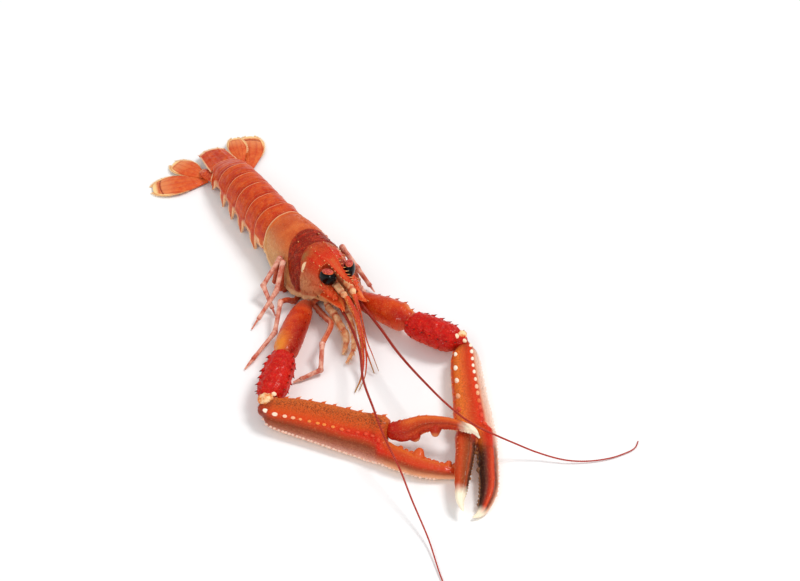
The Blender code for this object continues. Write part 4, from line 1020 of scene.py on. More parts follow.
def orbit_spines(side):
    """Small spines round the upper rim of the eye socket, longest over its middle."""
    turn = side * np.linspace(0.16, 0.42, 7)
    y = 0.8 - smooth(rise_of(turn), FRONT_KNOTS)
    lengths = 0.9 + 0.8 * np.sin(np.linspace(0, math.pi, 7))
    directions = carapace_outward(y, turn) + (0, -1.2, 0.2)
    return studs(carapace_point(y, turn), directions, lengths, 0.55, THORN, rise=1.0, front=1.0, thorn=0.8)


def carapace_thorns(side):
    """The spikes of a side, along the outward direction turned forwards by their lean."""
    y, turn, lean, lengths, radii = np.array(CARAPACE_SPIKES).T
    size = RANDOM.uniform(*SIZE_SPREAD, len(y)) * sizes().thorn_size
    directions = carapace_outward(y, side * turn)
    directions[:, 1] -= lean
    return studs(carapace_point(y, side * turn), directions, lengths * size, radii * size, THORN,
                 bend=(0, -0.12, 0.08), thorn=0.8, **shell_marks(y, rise_of(turn)))


def carapace_granules():
    """Small knobs scattered evenly, larger towards the front."""
    y = -RANDOM.uniform(4.0, 57.0, GRANULE_COUNT)
    turn = RANDOM.uniform(-0.86, 0.86, GRANULE_COUNT)
    size = RANDOM.uniform(0.16, 0.36, GRANULE_COUNT) * (1 + 0.5 * step(y, -34, -50))
    directions = carapace_outward(y, turn) + (0.0, -0.7, 0.0)
    marks = shell_marks(y, rise_of(turn))
    return studs(carapace_point(y, turn), directions, size * 1.1, size, THORN, sides=6, **marks)


class LOBSTER_OT_carapace(bpy.types.Operator):
    """Builds the carapace with its rostrum, thorns and granules."""

    bl_idname = "lobster.carapace"
    bl_label = "Carapace"

    def execute(self, context):
        shapes = [carapace_shape(), rostrum_shape()]
        for side in SIDES.values():
            shapes += [rostrum_teeth(side), orbit_spines(side)]
        shapes += [carapace_thorns(side) for side in SIDES.values()]
        shape = join([*shapes, carapace_granules()])
        lay_mesh("carapace_shell", shape, carapace_finish(), ["carapace"])
        return {"FINISHED"}


# Underside

# Rows of y, half width and lower level
STERNUM_STATIONS = ((-8, 7.0, 5.0), (-14, 8.6, 3.0), (-30, 9.2, 2.6), (-50, 8.6, 3.0), (-58, 7.4, 4.0))
STERNUM_TOP = 9.2
STERNUM_SECTION = ((1, 0), (1, 0.8), (0.7, 1), (0, 1), (-0.7, 1), (-1, 0.8), (-1, 0), (-0.75, -0.9),
    (-0.35, -0.7), (0, -1), (0.35, -0.7), (0.75, -0.9))
LEG_ROOTS = {2: -47.0, 3: -39.0, 4: -30.0, 5: -21.0}
LEG_SPACING = 8.7
STERNUM_WAVE = 0.4
WAVE_TOP = 6.0


def sternum_shape():
    """The chest floor: one rounded section, its underside in cosine waves that swell between the legs."""
    y, half, low = np.array(STERNUM_STATIONS).T
    rows = np.stack([0 * y, y, (low + STERNUM_TOP) / 2, half, (STERNUM_TOP - low) / 2], 1)
    rings = rings_along(rows, closed_section(STERNUM_SECTION, 60), 120, ends=(0.1, 0.1))
    wave = np.cos((rings[..., 1] - LEG_ROOTS[2]) * 2 * math.pi / LEG_SPACING)
    rings[..., 2] += STERNUM_WAVE * wave * (rings[..., 2] < WAVE_TOP)
    return tube(rings)


class LOBSTER_OT_underside(bpy.types.Operator):
    """Builds the chest floor."""

    bl_idname = "lobster.underside"
    bl_label = "Underside"

    def execute(self, context):
        lay_mesh("chest_floor", sternum_shape(), under_finish(), ["sternum"])
        return {"FINISHED"}


# Abdomen

SOMITE_ENDS = (0.0, 11.5, 25.5, 40.0, 54.0, 68.0, 86.0)
ABDOMEN_HALF_WIDTHS = (14.8, 16.0, 16.2, 15.8, 15.2, 14.6, 13.6)
ABDOMEN_TOPS = (30.4, 30.2, 29.2, 28.2, 26.6, 24.0, 15.5)
PLEURON_TIPS = (0.25, 0.05, 0.4, 0.45, 0.45, 0.55)
PLEURON_FLOORS = (9.0, 0.0, 0.0, 0.0, 0.0, 1.5)
PLEURON_TOP = 15.0
STERNITE_LEVEL = 6.5
TAIL_BEND = 0.0011
SOMITE_ROWS, SOMITE_COLUMNS = 56, 121
BELLY_TURN = 0.72
SWIMMERET_PAIRS = 5
# Swimmerets: rows of place along the tail, across it and up, and half width
SWIMMERET_ROWS = ((-4.0, 6.4, 7.8, 1.3), (0.0, 7.2, 4.6, 2.0), (4.0, 8.0, 2.6, 1.9), (6.6, 8.4, 1.8, 0.7))


def tail_point(s, x, z):
    """Place s behind the carapace, x to the left and z up, on a tail that bends a little to the left."""
    heading = TAIL_BEND * s
    return np.stack([heading * s / 2 + x * np.cos(heading), s - x * np.sin(heading), z + 0 * s], -1)


def tail_rows(rows, side):
    """Rows on the bending tail, from places along it, across it and up."""
    s, x, z, wide, thick = np.array(rows).T
    return np.concatenate([tail_point(s, side * x, z), wide[:, None], thick[:, None]], 1)


def somite_shape(index):
    """A ring of the abdomen: an arched back tucked under the ring ahead, and a pointed pleuron on each side.

    The arch is a cosine over the turn and a straight run along the tail, less two furrows. Below the back's
    edge the ring narrows to the pleuron's tip. The inner grid follows the pleura, level under the belly.
    """
    start, end = SOMITE_ENDS[index - 1] + 0.1, SOMITE_ENDS[index]
    half = np.interp((start, end), SOMITE_ENDS, ABDOMEN_HALF_WIDTHS)
    top = np.interp((start, end), SOMITE_ENDS, ABDOMEN_TOPS)
    tip, floor = PLEURON_TIPS[index - 1], PLEURON_FLOORS[index - 1]
    u = np.linspace(0, 1, SOMITE_ROWS)[:, None]
    turn = np.linspace(-1, 1, SOMITE_COLUMNS)[None]
    angle = np.abs(turn) * math.pi / 2
    arch = np.maximum(0.0, np.cos(angle)) ** 0.76
    tuck = 0.8 * (1 - step(u, 0.0, 0.3))
    second = 0.62 + 0.05 * np.cos(angle * 2)
    furrow = sizes().ring_relief / MM * (bell(u, 0.27, 0.06) + 0.35 * bell(u, second, 0.05))
    furrow = furrow - 0.16 * step(u, 0.93, 0.97)
    width = half[0] + (half[1] - half[0]) * u - tuck
    height = top[0] + (top[1] - top[0]) * u - tuck
    z = floor + (height - furrow * step(arch, 0.15, 0.4) - floor) * arch
    x = (width - furrow * arch) * np.sin(angle) ** 0.82
    drop = np.clip((PLEURON_TOP - z) / (PLEURON_TOP - floor), 0, 1)
    narrow = 0.54 * step(drop, 0.0, 0.34) + 0.41 * step(drop, 0.6, 1.02)
    s = start + (end - start) * (u * (1 - narrow) + tip * narrow)
    side = np.where(turn < 0, -1.0, 1.0)
    outer = tail_point(s, side * x, z)
    swell = 0.35 * bell(drop, 0.12, 0.06) * step(u, 0.1, 0.3)
    outer = pushed(outer, 0.08 * ripple(outer, 6.0, 20 + index) + swell)
    edge = np.abs(turn) > BELLY_TURN
    x_in = np.where(edge, x - 0.9, (width - 2.0) * np.minimum(1.0, np.abs(turn) / BELLY_TURN))
    z_in = np.where(edge, np.maximum(z, 0), np.minimum(STERNITE_LEVEL, height - 3))
    z_in = np.where(edge & (z > STERNITE_LEVEL), STERNITE_LEVEL, z_in)
    z_in = np.where(np.abs(turn) == 1, z + 0.25, z_in)
    rim = np.maximum(step(u, 0.965, 0.985) * 0.7, step(drop, 0.9, 0.97))
    pleura = step(drop, 0.05, 0.4) * np.maximum(step(u, 0.7, 0.86), step(u, 0.26, 0.1))
    groove = np.clip(bell(u, 0.27, 0.08) + 0.4 * bell(u, second, 0.05), 0, 1)
    inner = tail_point(s, side * x_in, z_in)
    return skin(outer, inner, along=u, rise=arch, rim=np.maximum(rim, pleura), groove=groove)


def swimmeret_shape(index, side):
    """A flat lobe below the middle of a ring."""
    middle = (SOMITE_ENDS[index - 1] + SOMITE_ENDS[index]) / 2
    rows = [(middle + s, x, z, half, 0.45) for s, x, z, half in SWIMMERET_ROWS]
    return tube(rings_along(tail_rows(rows, side), 20, 24))


class LOBSTER_OT_abdomen(bpy.types.Operator):
    """Builds the six rings of the abdomen and their swimmerets."""

    bl_idname = "lobster.abdomen"
    bl_label = "Abdomen"

    def execute(self, context):
        for index in range(1, len(SOMITE_ENDS)):
            lay_mesh(f"tail_ring_{index}", somite_shape(index), tail_finish(), [f"abdomen_{index}"])
            if index <= SWIMMERET_PAIRS:
                pair = join([swimmeret_shape(index, side) for side in SIDES.values()])
                lay_mesh(f"swimmerets_{index}", pair, limb_finish(), [])
        return {"FINISHED"}


# Tail fan

TELSON_LENGTH = 26.5
TELSON_HALF_WIDTH, TELSON_TAPER = 11.4, 2.2
TELSON_LEVEL, TELSON_FALL, TELSON_CROWN = 9.6, 5.4, 1.6
# Blades: root, tip and width
TAIL_BLADES = {
    "uropod_exopod_right": ((-13.6, 90.2, 2.4), (-43.4, 101.2, 1.0), 19.0),
    "uropod_endopod_right": ((-9.8, 95.0, 2.6), (-19.0, 117.6, 1.4), 15.5),
    "uropod_exopod_left": ((22.6, 87.2, 2.4), (38.6, 116.4, 1.0), 19.0),
    "uropod_endopod_left": ((18.6, 92.0, 5.4), (26.6, 115.6, 5.0), 12.0),
}
BLADE_ROWS, BLADE_COLUMNS = 90, 61
BLADE_TAIL = 0.16
BLADE_WIDEST = 0.62
BLADE_THICKNESS = 1.0
SEAM_PLACE, SEAM_WIDTH, SEAM_DEPTH = 0.80, 0.016, 0.35
FRINGE_DROP = 0.5
# Joints of the fan: rows of place along the tail, across it and up, half width and half thickness
PROTOPOD = ((80.5, 8.6, 6.2, 2.6, 2.0), (85.0, 10.4, 5.6, 4.2, 2.6), (90.0, 11.8, 4.8, 4.6, 2.4),
            (95.0, 12.6, 4.0, 3.4, 1.6))
PROTOPOD_KNOB = ((87.4, 12.2, 6.2, 1.4, 1.3), (89.8, 13.0, 6.0, 2.0, 1.6), (92.2, 13.8, 5.4, 1.2, 1.0))


def fringe(roots, directions, length, seed):
    """Hairs side by side along an edge, a little uneven in length and direction."""
    random = np.random.default_rng(seed)
    count = len(roots)
    directions = unit(directions) + random.normal(0, 0.08, (count, 3)) * (1, 1, 0.4)
    lengths = length * random.uniform(0.75, 1.1, count)
    return studs(roots, directions, lengths, 0.13, HAIR, sides=4)


def telson_point(u, v, drop=0.0):
    """Upper face of the telson, or a level below it: u from its root to its rear edge, v from right to left.

    It tapers and falls straight, is arched across by a square, and has a ridge on each side.
    """
    s = SOMITE_ENDS[-1] + 0.3 + TELSON_LENGTH * u * (1 - 0.07 * v * v * u)
    ridge = 0.5 * bell(np.abs(v), 0.5, 0.1) * step(u, 0.02, 0.2)
    level = TELSON_LEVEL - TELSON_FALL * u + TELSON_CROWN * (1 - v * v) + ridge - drop
    return tail_point(s, v * (TELSON_HALF_WIDTH - TELSON_TAPER * u), level)


def telson_shape():
    """The telson: an upper face with a shallow furrow in the middle, and a lower one that nears it behind."""
    u = np.linspace(0, 1, 90)[:, None] ** 0.9
    v = np.linspace(-1, 1, 91)[None]
    v = np.sign(v) * (1 - (1 - np.abs(v)) ** 1.1)
    outer = telson_point(u, v)
    outer = pushed(outer, 0.12 * ripple(outer, 4.0, 31) - 0.4 * bell(v, 0, 0.12) * bell(u, 0.5, 0.3))
    inner = telson_point(u, v * 0.97, 1.0 + 3.4 * (1 - u) * (1 - v * v))
    rim = np.maximum(step(np.abs(v), 0.9, 0.97), step(u, 0.94, 0.985))
    groove = bell(v, 0, 0.16) * step(u, 0.1, 0.3)
    return skin(outer, inner, along=0.45 + 0.3 * u, rise=0.8, rim=rim, groove=groove)


def build_telson():
    """The plate with a spine at each rear corner, and the fringe along its rear edge."""
    corners = telson_point(np.full(2, 0.98), np.array((-0.95, 0.95)), FRINGE_DROP)
    spikes = studs(corners, ((-0.25, 1, -0.05), (0.25, 1, -0.05)), 2.8, 0.75, THORN)
    lay_mesh("telson_plate", join([telson_shape(), spikes]), tail_finish(), ["telson"])
    v = np.linspace(-0.9, 0.9, 150)
    directions = np.stack([v * 0.35, 1 + 0 * v, -0.12 + 0 * v], 1)
    hairs = fringe(telson_point(0 * v + 0.985, v, FRINGE_DROP), directions, sizes().hair_length / MM, 41)
    lay_mesh("telson_fringe", hairs, seta_finish(), [])


def paddle_point(blade, u, v):
    """Upper face of a fin blade: its half width swells as a sine and rounds off; arched along and across."""
    root, tip, width = (np.asarray(part, float) for part in blade)
    side = unit(np.cross(tip - root, UP))
    half = width / 2 * (0.36 + 0.64 * np.sin(math.pi / 2 * np.minimum(1.0, u / BLADE_WIDEST)))
    half = half * np.sqrt(np.clip(1 - (np.maximum(0.0, u - BLADE_WIDEST) / 0.40) ** 2, 0, 1))
    place = root + (tip - root) * u[..., None] + side * (half * v)[..., None]
    place[..., 2] += 0.8 * np.sin(math.pi * u) + 0.7 * (1 - v * v)
    return place


def blade_shape(blade, seamed):
    """A thin fin blade with three raised lines and, on an outer blade, a seam across."""
    ends, edges = np.linspace(-BLADE_TAIL, 1, BLADE_ROWS), np.linspace(-1, 1, BLADE_COLUMNS)
    u, v = np.meshgrid(ends, edges, indexing="ij")
    outer, inner = paddle_point(blade, u, v), paddle_point(blade, u, v)
    lines = sum(bell(v, middle, 0.07) for middle in (-0.5, 0.0, 0.5))
    lines = lines * step(u, 0.0, 0.1) * step(u, 0.98, 0.85)
    seam = seamed * bell(u, SEAM_PLACE + 0.05 * (1 - v * v), SEAM_WIDTH) * step(np.abs(v), 1.0, 0.9)
    outer[..., 2] += 0.2 * lines - SEAM_DEPTH * seam + 0.06 * ripple(outer, 3.0, 51)
    outer[..., 2] = np.maximum(outer[..., 2], 0.3)
    inner[..., 2] -= BLADE_THICKNESS
    rim = np.maximum(step(np.abs(v), 0.74, 1.0) * step(u, 0.3, 0.8), step(u, 0.82, 0.98))
    return skin(outer, inner, along=u, rim=rim, ridge=lines, suture=seam)


def blade_fringe(blade, seed):
    """Hairs round the free edge of a fin blade."""
    turn = np.linspace(-1, 1, 260)
    u = 1 - 0.72 * np.abs(turn) ** 1.6
    roots = paddle_point(blade, u, np.sign(turn) * 0.97)
    roots[:, 2] -= 0.4
    root, tip = np.asarray(blade[0]), np.asarray(blade[1])
    directions = (roots - (root * 0.45 + tip * 0.55)) * (1, 1, 0) + unit(tip - root) * 6
    roots[:, 2] = np.maximum(roots[:, 2], 0.25)
    return fringe(roots, directions, sizes().hair_length / MM * (0.55 + 0.45 * u), seed)


def protopod_shape(side):
    """The plump joint that carries both fin blades of a side, with a rounded knob at its hind corner."""
    return join([tube(rings_along(tail_rows(PROTOPOD, side), 36, 40)),
                 tube(rings_along(tail_rows(PROTOPOD_KNOB, side), 28, 24))])


class LOBSTER_OT_tail_fan(bpy.types.Operator):
    """Builds the telson, the fan's joints and the fin blades."""

    bl_idname = "lobster.tail_fan"
    bl_label = "Tail fan"

    def execute(self, context):
        build_telson()
        for name, side in SIDES.items():
            lay_mesh(f"fin_joint_{name}", protopod_shape(side), knob_finish(), [])
        for seed, (name, blade) in enumerate(TAIL_BLADES.items(), 60):
            lay_mesh(f"{name}_blade", blade_shape(blade, "exopod" in name), fin_finish(), [name])
            lay_mesh(f"{name}_fringe", blade_fringe(blade, seed), seta_finish(), [])
        return {"FINISHED"}


# Head

EYE_RADII = (3.6, 5.5, 5.7)
EYE_TURN = -37.0
EYE_COLUMNS = 64
HOOD_REACH = math.radians(44)
# Limbs of the left side, mirrored on the right: rows of x, y, z, half width and half thickness
STALK = ((4.3, -62.0, 31.4, 1.5, 1.6), (5.3, -63.0, 31.4, 2.4, 2.4))
ANTENNA_BASE = ((7.6, -64.7, 14.2, 2.4, 2.2), (6.6, -71.0, 14.8, 2.4, 2.1), (6.3, -76.8, 15.4, 1.5, 1.5))
EYE_SHELF = ((6.8, -57.5, 22.6, 3.0, 2.8), (8.0, -64.0, 22.8, 3.4, 2.8), (7.9, -70.0, 21.8, 2.8, 2.2),
    (7.0, -75.0, 20.6, 1.5, 1.2))
ANTENNAL_SCALE = ((9.6, -65.2, 18.4, 3.0, 1.0), (7.8, -70.0, 18.4, 3.8, 0.9), (6.6, -76.0, 18.4, 3.6, 0.8),
    (6.9, -81.0, 18.4, 2.2, 0.7), (7.7, -85.2, 18.4, 0.5, 0.5))
# Limbs that differ between the sides: rows of x, y, z and radius
ANTENNULES = {
    "right": ((-3.2, -60.3, 25.0, 2.0), (-3.2, -69.0, 24.6, 2.1), (-3.0, -77.4, 23.4, 1.9),
        (-2.6, -80.2, 22.4, 1.1), (-5.9, -96.0, 20.0, 0.9), (-10.7, -109.4, 15.0, 0.8),
        (-16.8, -121.3, 8.0, 0.6), (-21.9, -127.2, 4.0, 0.5), (-29.5, -132.7, 1.0, 0.3)),
    "left": ((3.2, -60.3, 25.0, 2.0), (3.2, -69.0, 24.6, 2.1), (3.2, -77.4, 23.4, 1.9),
        (2.4, -80.2, 22.0, 0.9), (-0.8, -89.6, 19.0, 0.6), (-4.8, -98.6, 16.0, 0.55),
        (-9.3, -110.3, 11.5, 0.5), (-10.7, -117.1, 8.0, 0.4), (-12.1, -126.0, 2.0, 0.3)),
}
MAXILLIPEDS = {
    "right": ((-5.2, -59.2, 6.3, 1.8), (-7.6, -66.0, 6.6, 2.3), (-9.4, -75.0, 9.2, 2.4),
        (-10.8, -84.0, 9.0, 2.1), (-11.6, -93.6, 6.0, 2.0), (-16.0, -99.5, 3.6, 1.4),
        (-19.0, -101.8, 1.6, 0.5)),
    "left": ((4.4, -59.2, 6.3, 1.8), (2.4, -67.0, 7.0, 2.3), (-1.2, -78.0, 10.6, 2.3),
        (-5.8, -88.6, 11.0, 2.0), (-9.2, -98.6, 8.6, 1.8), (-15.8, -107.2, 5.4, 1.2),
        (-21.8, -110.0, 2.4, 0.5)),
}
MOUTH_HAIRS = 420
MOUTH_HAIR_TURNS = {"right": (0.55, 1.0), "left": (0.5, 0.95)}


def limb_rings(rows, side, around, count):
    """Rings of a limb given for the left side, on the given side."""
    return rings_along(np.array(rows) * (side, 1, 1, 1, 1), around, count)


def rounded(rows):
    """Rows of x, y, z, radius with the radius given for both half width and half thickness."""
    rows = np.array(rows, float)
    return np.concatenate([rows, rows[:, 3:4]], 1)


def ball_rings(polar):
    """Rings of an eye: a sphere stretched to three radii, at angles from its upper pole."""
    around, polar = turns(EYE_COLUMNS)[None], polar[:, None]
    ball = [np.sin(polar) * np.cos(around), np.sin(polar) * np.sin(around), np.cos(polar) + 0 * around]
    return np.stack(ball, -1) * EYE_RADII


def hood_rings():
    """The stalk's hood over the top of an eye: a thin shell that thins out into the eye at its wavy rim."""
    share = np.linspace(0.04, 1.0, 26)
    lift = 1.0 + 0.055 * (1 - share**6) - 0.02 * step(share, 0.9, 1.0)
    wave = 0.05 * np.sin(turns(EYE_COLUMNS) * 5)[None, :, None] * (share**4)[:, None, None]
    return ball_rings(share * HOOD_REACH) * lift[:, None, None] * (1 + wave * (0, 0, 1))


def placed_eye(ball, side):
    """Points of an eye turned about its upright and moved to its place on a side."""
    turn = math.radians(EYE_TURN)
    x = ball[..., 0] * math.cos(turn) - ball[..., 1] * math.sin(turn) + EYE_PLACE[0]
    y = ball[..., 0] * math.sin(turn) + ball[..., 1] * math.cos(turn) + EYE_PLACE[1]
    return np.stack([side * x, y, ball[..., 2] + EYE_PLACE[2]], -1)


class LOBSTER_OT_eyes(bpy.types.Operator):
    """Builds the eyes and their stalks."""

    bl_idname = "lobster.eyes"
    bl_label = "Eyes"

    def execute(self, context):
        for name, side in SIDES.items():
            eye = tube(placed_eye(ball_rings(np.linspace(0.02, 0.98, 44) * math.pi), side))
            lay_mesh(f"eye_ball_{name}", eye, eye_finish(), [f"eye_{name}"])
            hood = placed_eye(hood_rings(), side)
            hood = tube(hood, edge=step(np.linspace(0, 1, len(hood)), 0.7, 0.9)[:, None])
            shape = join([tube(limb_rings(STALK, side, 32, 20)), hood])
            lay_mesh(f"eye_stalk_{name}", shape, stalk_finish(), [f"eyestalk_{name}"])
        return {"FINISHED"}


def scale_shape(side):
    """The antennal scale: a flat blade with a thick outer edge and a spine, ridged lengthwise by a cosine."""
    rings = limb_rings(ANTENNAL_SCALE, side, 48, 60)
    around = turns(48)
    ridges = np.maximum(np.cos(around * 3), 0) * (np.sin(around) > 0)
    rings[..., 2] += 0.22 * ridges
    spine = studs((side * 11.6, -65.6, 18.6), (side * 5.2, -2.6, 2.8), 4.6, 1.0, THORN, sides=12)
    front = studs((side * 8.2, -83.0, 18.6), (side * 1.0, -3.2, 0.3), 3.6, 0.7, THORN, sides=10)
    return join([tube(rings, ridge=ridges), spine, front])


def shelf_shape(name):
    """The wall under an eye, with short spines along its outer and its upper edge."""
    rings = roughened(limb_rings(EYE_SHELF, SIDES[name], 48, 60), 0.35, 2.6, 61)
    outer = 0.46 if name == "left" else 0.04
    rows = (("thorn", 0.3, 0.9, 5, outer, 1.5, 0.7, 1.0), ("thorn", 0.4, 0.85, 4, 0.25, 1.0, 0.6, 1.0))
    return join([tube(rings), *stud_rows(rings, rows)])


def jointed(rings, cuts, pinch, width=0.03):
    """A limb of several segments: its rings shrink at each cut and swell a little on both sides of it."""
    share = shares_along(rings)
    beside = 2.4 * width
    waist = sum(bell(share, cut, width) for cut in cuts)
    swell = sum(bell(share, cut + side * beside, 1.6 * width) for cut in cuts for side in (-1, 1))
    rings = resized(rings, 1 - pinch * waist + 0.35 * pinch * swell)
    return tube(rings, joint=np.clip(waist, 0, 1)[:, None])


class LOBSTER_OT_feeler_bases(bpy.types.Operator):
    """Builds the scales and bases of the long feelers and the walls under the eyes."""

    bl_idname = "lobster.feeler_bases"
    bl_label = "Feeler bases"

    def execute(self, context):
        for name, side in SIDES.items():
            nodes = [f"antennal_scale_{name}"]
            lay_mesh(f"feeler_scale_{name}", scale_shape(side), scale_finish(), nodes)
            base = jointed(limb_rings(ANTENNA_BASE, side, 32, 70), (0.36, 0.7), 0.16)
            lay_mesh(f"feeler_base_{name}", base, mouth_finish(), [f"antenna_base_{name}"])
            lay_mesh(f"eye_shelf_{name}", shelf_shape(name), scale_finish(), [])
        return {"FINISHED"}


# Threads: rings, points round each, and length of one swelling
LASH = (420, 16, 1.3)
LONG_FEELER = (1500, 14, 1.2)
SECOND_LASH_SIZE = 0.62


def ringed(rows, count, around, pitch):
    """A thread of short rings: the radius swells in the middle of each, by a sine over the length."""
    rings = rings_along(rows, around, count)
    gap = 1 - np.abs(np.sin(run(rings.mean(axis=1)) * math.pi / pitch))
    return tube(resized(rings, 1 - 0.10 * gap**2), band=gap[:, None])


def lash_shape(rows):
    """The two lashes of a short feeler: a thick one, and a thin one that bows away to the left and up."""
    lash = rows.copy()
    share = np.linspace(0, 1, len(lash))
    lash[:, 3:] *= np.interp(share, (0, 0.4, 1), (1.6, 1.5, 1.1))[:, None]
    second = lash.copy()
    second[:, 0] += 3.0 * share * (1 - 0.2 * share) + 0.8
    second[:, 2] = np.maximum(second[:, 2] + 3.0 * share * (1 - share), 0.5)
    second[:, 3:] *= SECOND_LASH_SIZE
    return join([ringed(lash, *LASH), ringed(second, *LASH)])


class LOBSTER_OT_short_feelers(bpy.types.Operator):
    """Builds the antennules: a base of three joints, and two lashes."""

    bl_idname = "lobster.short_feelers"
    bl_label = "Short feelers"

    def execute(self, context):
        for name, path in ANTENNULES.items():
            rows = rounded(path)
            base = jointed(rings_along(rows[:4], 32, 80), (0.42, 0.75), 0.2)
            lay_mesh(f"short_feeler_base_{name}", base, mouth_finish(), [])
            lashes = lash_shape(rows[3:])
            lay_mesh(f"short_feelers_{name}", lashes, antennule_finish(), [f"antennule_{name}"])
        return {"FINISHED"}


def mouth_hairs(rings, name, seed):
    """Hairs scattered over the front and lower side of a mouth limb, leaning forwards."""
    random = np.random.default_rng(seed)
    share = random.uniform(0.35, 0.98, MOUTH_HAIRS)
    around = random.uniform(*MOUTH_HAIR_TURNS[name], MOUTH_HAIRS)
    places, outward, forward = on_skin(rings, share, around)
    return studs(places, outward + forward * 0.9, random.uniform(1.2, 2.4, MOUTH_HAIRS), 0.09, HAIR, sides=4)


class LOBSTER_OT_mouth_limbs(bpy.types.Operator):
    """Builds the third maxillipeds with their hairs."""

    bl_idname = "lobster.mouth_limbs"
    bl_label = "Mouth limbs"

    def execute(self, context):
        for seed, (name, path) in enumerate(MAXILLIPEDS.items(), 80):
            rings = rings_along(rounded(path), 32, 150)
            limb = jointed(rings, (0.16, 0.42, 0.66, 0.86), 0.22, 0.02)
            lay_mesh(f"mouth_limb_{name}", limb, mouth_finish(), [f"maxilliped_{name}"])
            lay_mesh(f"mouth_limb_hairs_{name}", mouth_hairs(rings, name, seed), seta_finish(), [])
        return {"FINISHED"}


# Walking legs

LEG_ROOT_LEVEL = 5.2
# Half widths at the first and the last end of a leg's segments
HIP_SIZES = (1.8, 1.8)
THIGH_SIZES = (1.9, 1.75)
SHIN_SIZES = (1.7, 1.6)
FOOT_SIZES = (1.65, 1.3)
POINT_SIZES = (0.95, 0.4)
FINGER_SIZES = (0.75, 0.35)
LEG_FLATNESS = 0.88
LEG_UP = (0.0, 1.0, 0.1)
HEEL_SHARE = 0.72
LAST_FINGERED_LEG = 3
# Joints from the hip to the toe
LEG_JOINTS = {
    "leg_5_right": ((-15, -22, 1.7), (-19.4, -24, 1.7), (-22.0, -25, 4.2), (-21.0, -26.5, 14),
        (-19.0, -27.2, 23.0), (-33.6, -31.0, 10.5), (-36.3, -50, 1.2)),
    "leg_4_right": ((-15, -31, 1.7), (-19.6, -32.5, 1.7), (-22.2, -33, 4.2), (-21.4, -32.6, 14),
        (-19.5, -31.8, 23.6), (-30.0, -41.1, 11.5), (-54.2, -52.6, 1.2)),
    "leg_3_right": ((-15, -42, 1.7), (-19.6, -45, 1.7), (-22.2, -46.6, 4.0), (-27, -48.5, 8.5),
        (-32.6, -50.8, 11.5), (-46.4, -67.5, 6), (-74.7, -80.9, 1.2)),
    "leg_2_right": ((-11.2, -52, 1.7), (-11.6, -61, 1.8), (-12.8, -67.0, 4.0), (-14.6, -75.5, 7.8),
        (-16.0, -83, 11), (-30.4, -97, 12), (-38.5, -108.5, 4), (-56.0, -106.5, 1.4)),
    "leg_5_left": ((15, -20.5, 1.7), (19.4, -19.5, 1.7), (22.0, -19, 4.0), (21.2, -17.5, 9), (20.0, -16, 14),
        (22, -8, 8), (24, 0, 1.2)),
    "leg_4_left": ((15, -31.5, 1.7), (19.6, -32.5, 1.7), (22.2, -33, 4.2), (21.8, -34.5, 12),
        (20.9, -35.6, 20), (23.2, -49.8, 12), (26.6, -64.2, 1.4)),
    "leg_3_left": ((15, -41, 1.7), (19.4, -43.5, 1.7), (21.6, -45.5, 3.6), (21.8, -47, 6.0),
        (22.0, -48.6, 8.4), (21.5, -53, 5.0), (20.5, -58, 1.2)),
    "leg_2_left": ((12, -51, 1.7), (14.6, -56, 1.8), (16.4, -59.0, 3.4), (17.2, -61, 5.4), (17.6, -62.6, 7.4),
        (18.8, -68, 4), (17.6, -75, 1.2)),
}


def leg_rings(places, size, count, **path):
    """Rings of a leg through places with a half width at each."""
    size = np.reshape(size, (-1, 1))
    rows = np.concatenate([np.array(places), size, size * LEG_FLATNESS], 1)
    return rings_along(rows, 24, count, up=LEG_UP, **path)


def segment(first, last, taper, belly=0.08):
    """One straight segment of a leg: a taper that swells by a sine in its middle and by bells at its ends."""
    share = np.linspace(0, 1, 13)[:, None]
    ends = bell(share, 0, 0.12) + bell(share, 1, 0.12)
    start, end = taper
    size = (start + (end - start) * share) * (0.9 + belly * np.sin(math.pi * share) + 0.3 * ends)
    return leg_rings(first + (last - first) * share, size, 26)


def leg_tip(heel, toe, number):
    """The last joint: a slender point, or on the front legs a pair of small fingers."""
    aside = unit(np.cross(unit(toe - heel), UP)) * 0.55
    if number > LAST_FINGERED_LEG:
        points = [segment(heel, toe, POINT_SIZES)]
    else:
        points = [segment(heel + apart, toe + apart * 0.3, FINGER_SIZES, 0.2) for apart in (-aside, aside)]
    joint = step(np.linspace(0, 1, len(points[0])), 0.12, 0.0)[:, None]
    return [tube(rings, joint=joint, pale=1.0) for rings in points]


def leg_shape(name, joints):
    """Segments end to end: hip pieces, a long thigh, wrist, shin and tip, each marked near its ends."""
    number, side = int(name.split("_")[1]), SIDES[name.split("_")[2]]
    joints = np.array(joints, float)
    places, halves, _ = np.array(STERNUM_STATIONS)[::-1].T
    wall = np.interp(LEG_ROOTS[number], places, halves)
    hip = [np.array([side * wall, LEG_ROOTS[number], LEG_ROOT_LEVEL]), *joints[:3]]
    thigh = joints[2:-2]
    knee, ankle, toe = joints[-3:]
    heel = ankle + (toe - ankle) * HEEL_SHARE
    pieces = [segment(first, last, HIP_SIZES, 0.1) for first, last in zip(hip, hip[1:])]
    pieces.append(leg_rings(thigh, np.linspace(*THIGH_SIZES, len(thigh)), 60, carried=True))
    pieces += [segment(knee, ankle, SHIN_SIZES), segment(ankle, heel, FOOT_SIZES)]
    made = []
    for rings in pieces:
        share = shares_along(rings)
        joint = np.maximum(step(share, 0.07, 0.0), step(share, 0.93, 1.0))[:, None]
        made.append(tube(rings, joint=joint, pale=float(len(made) > len(hip) - 1)))
    return join([*made, *leg_tip(heel, toe, number)])


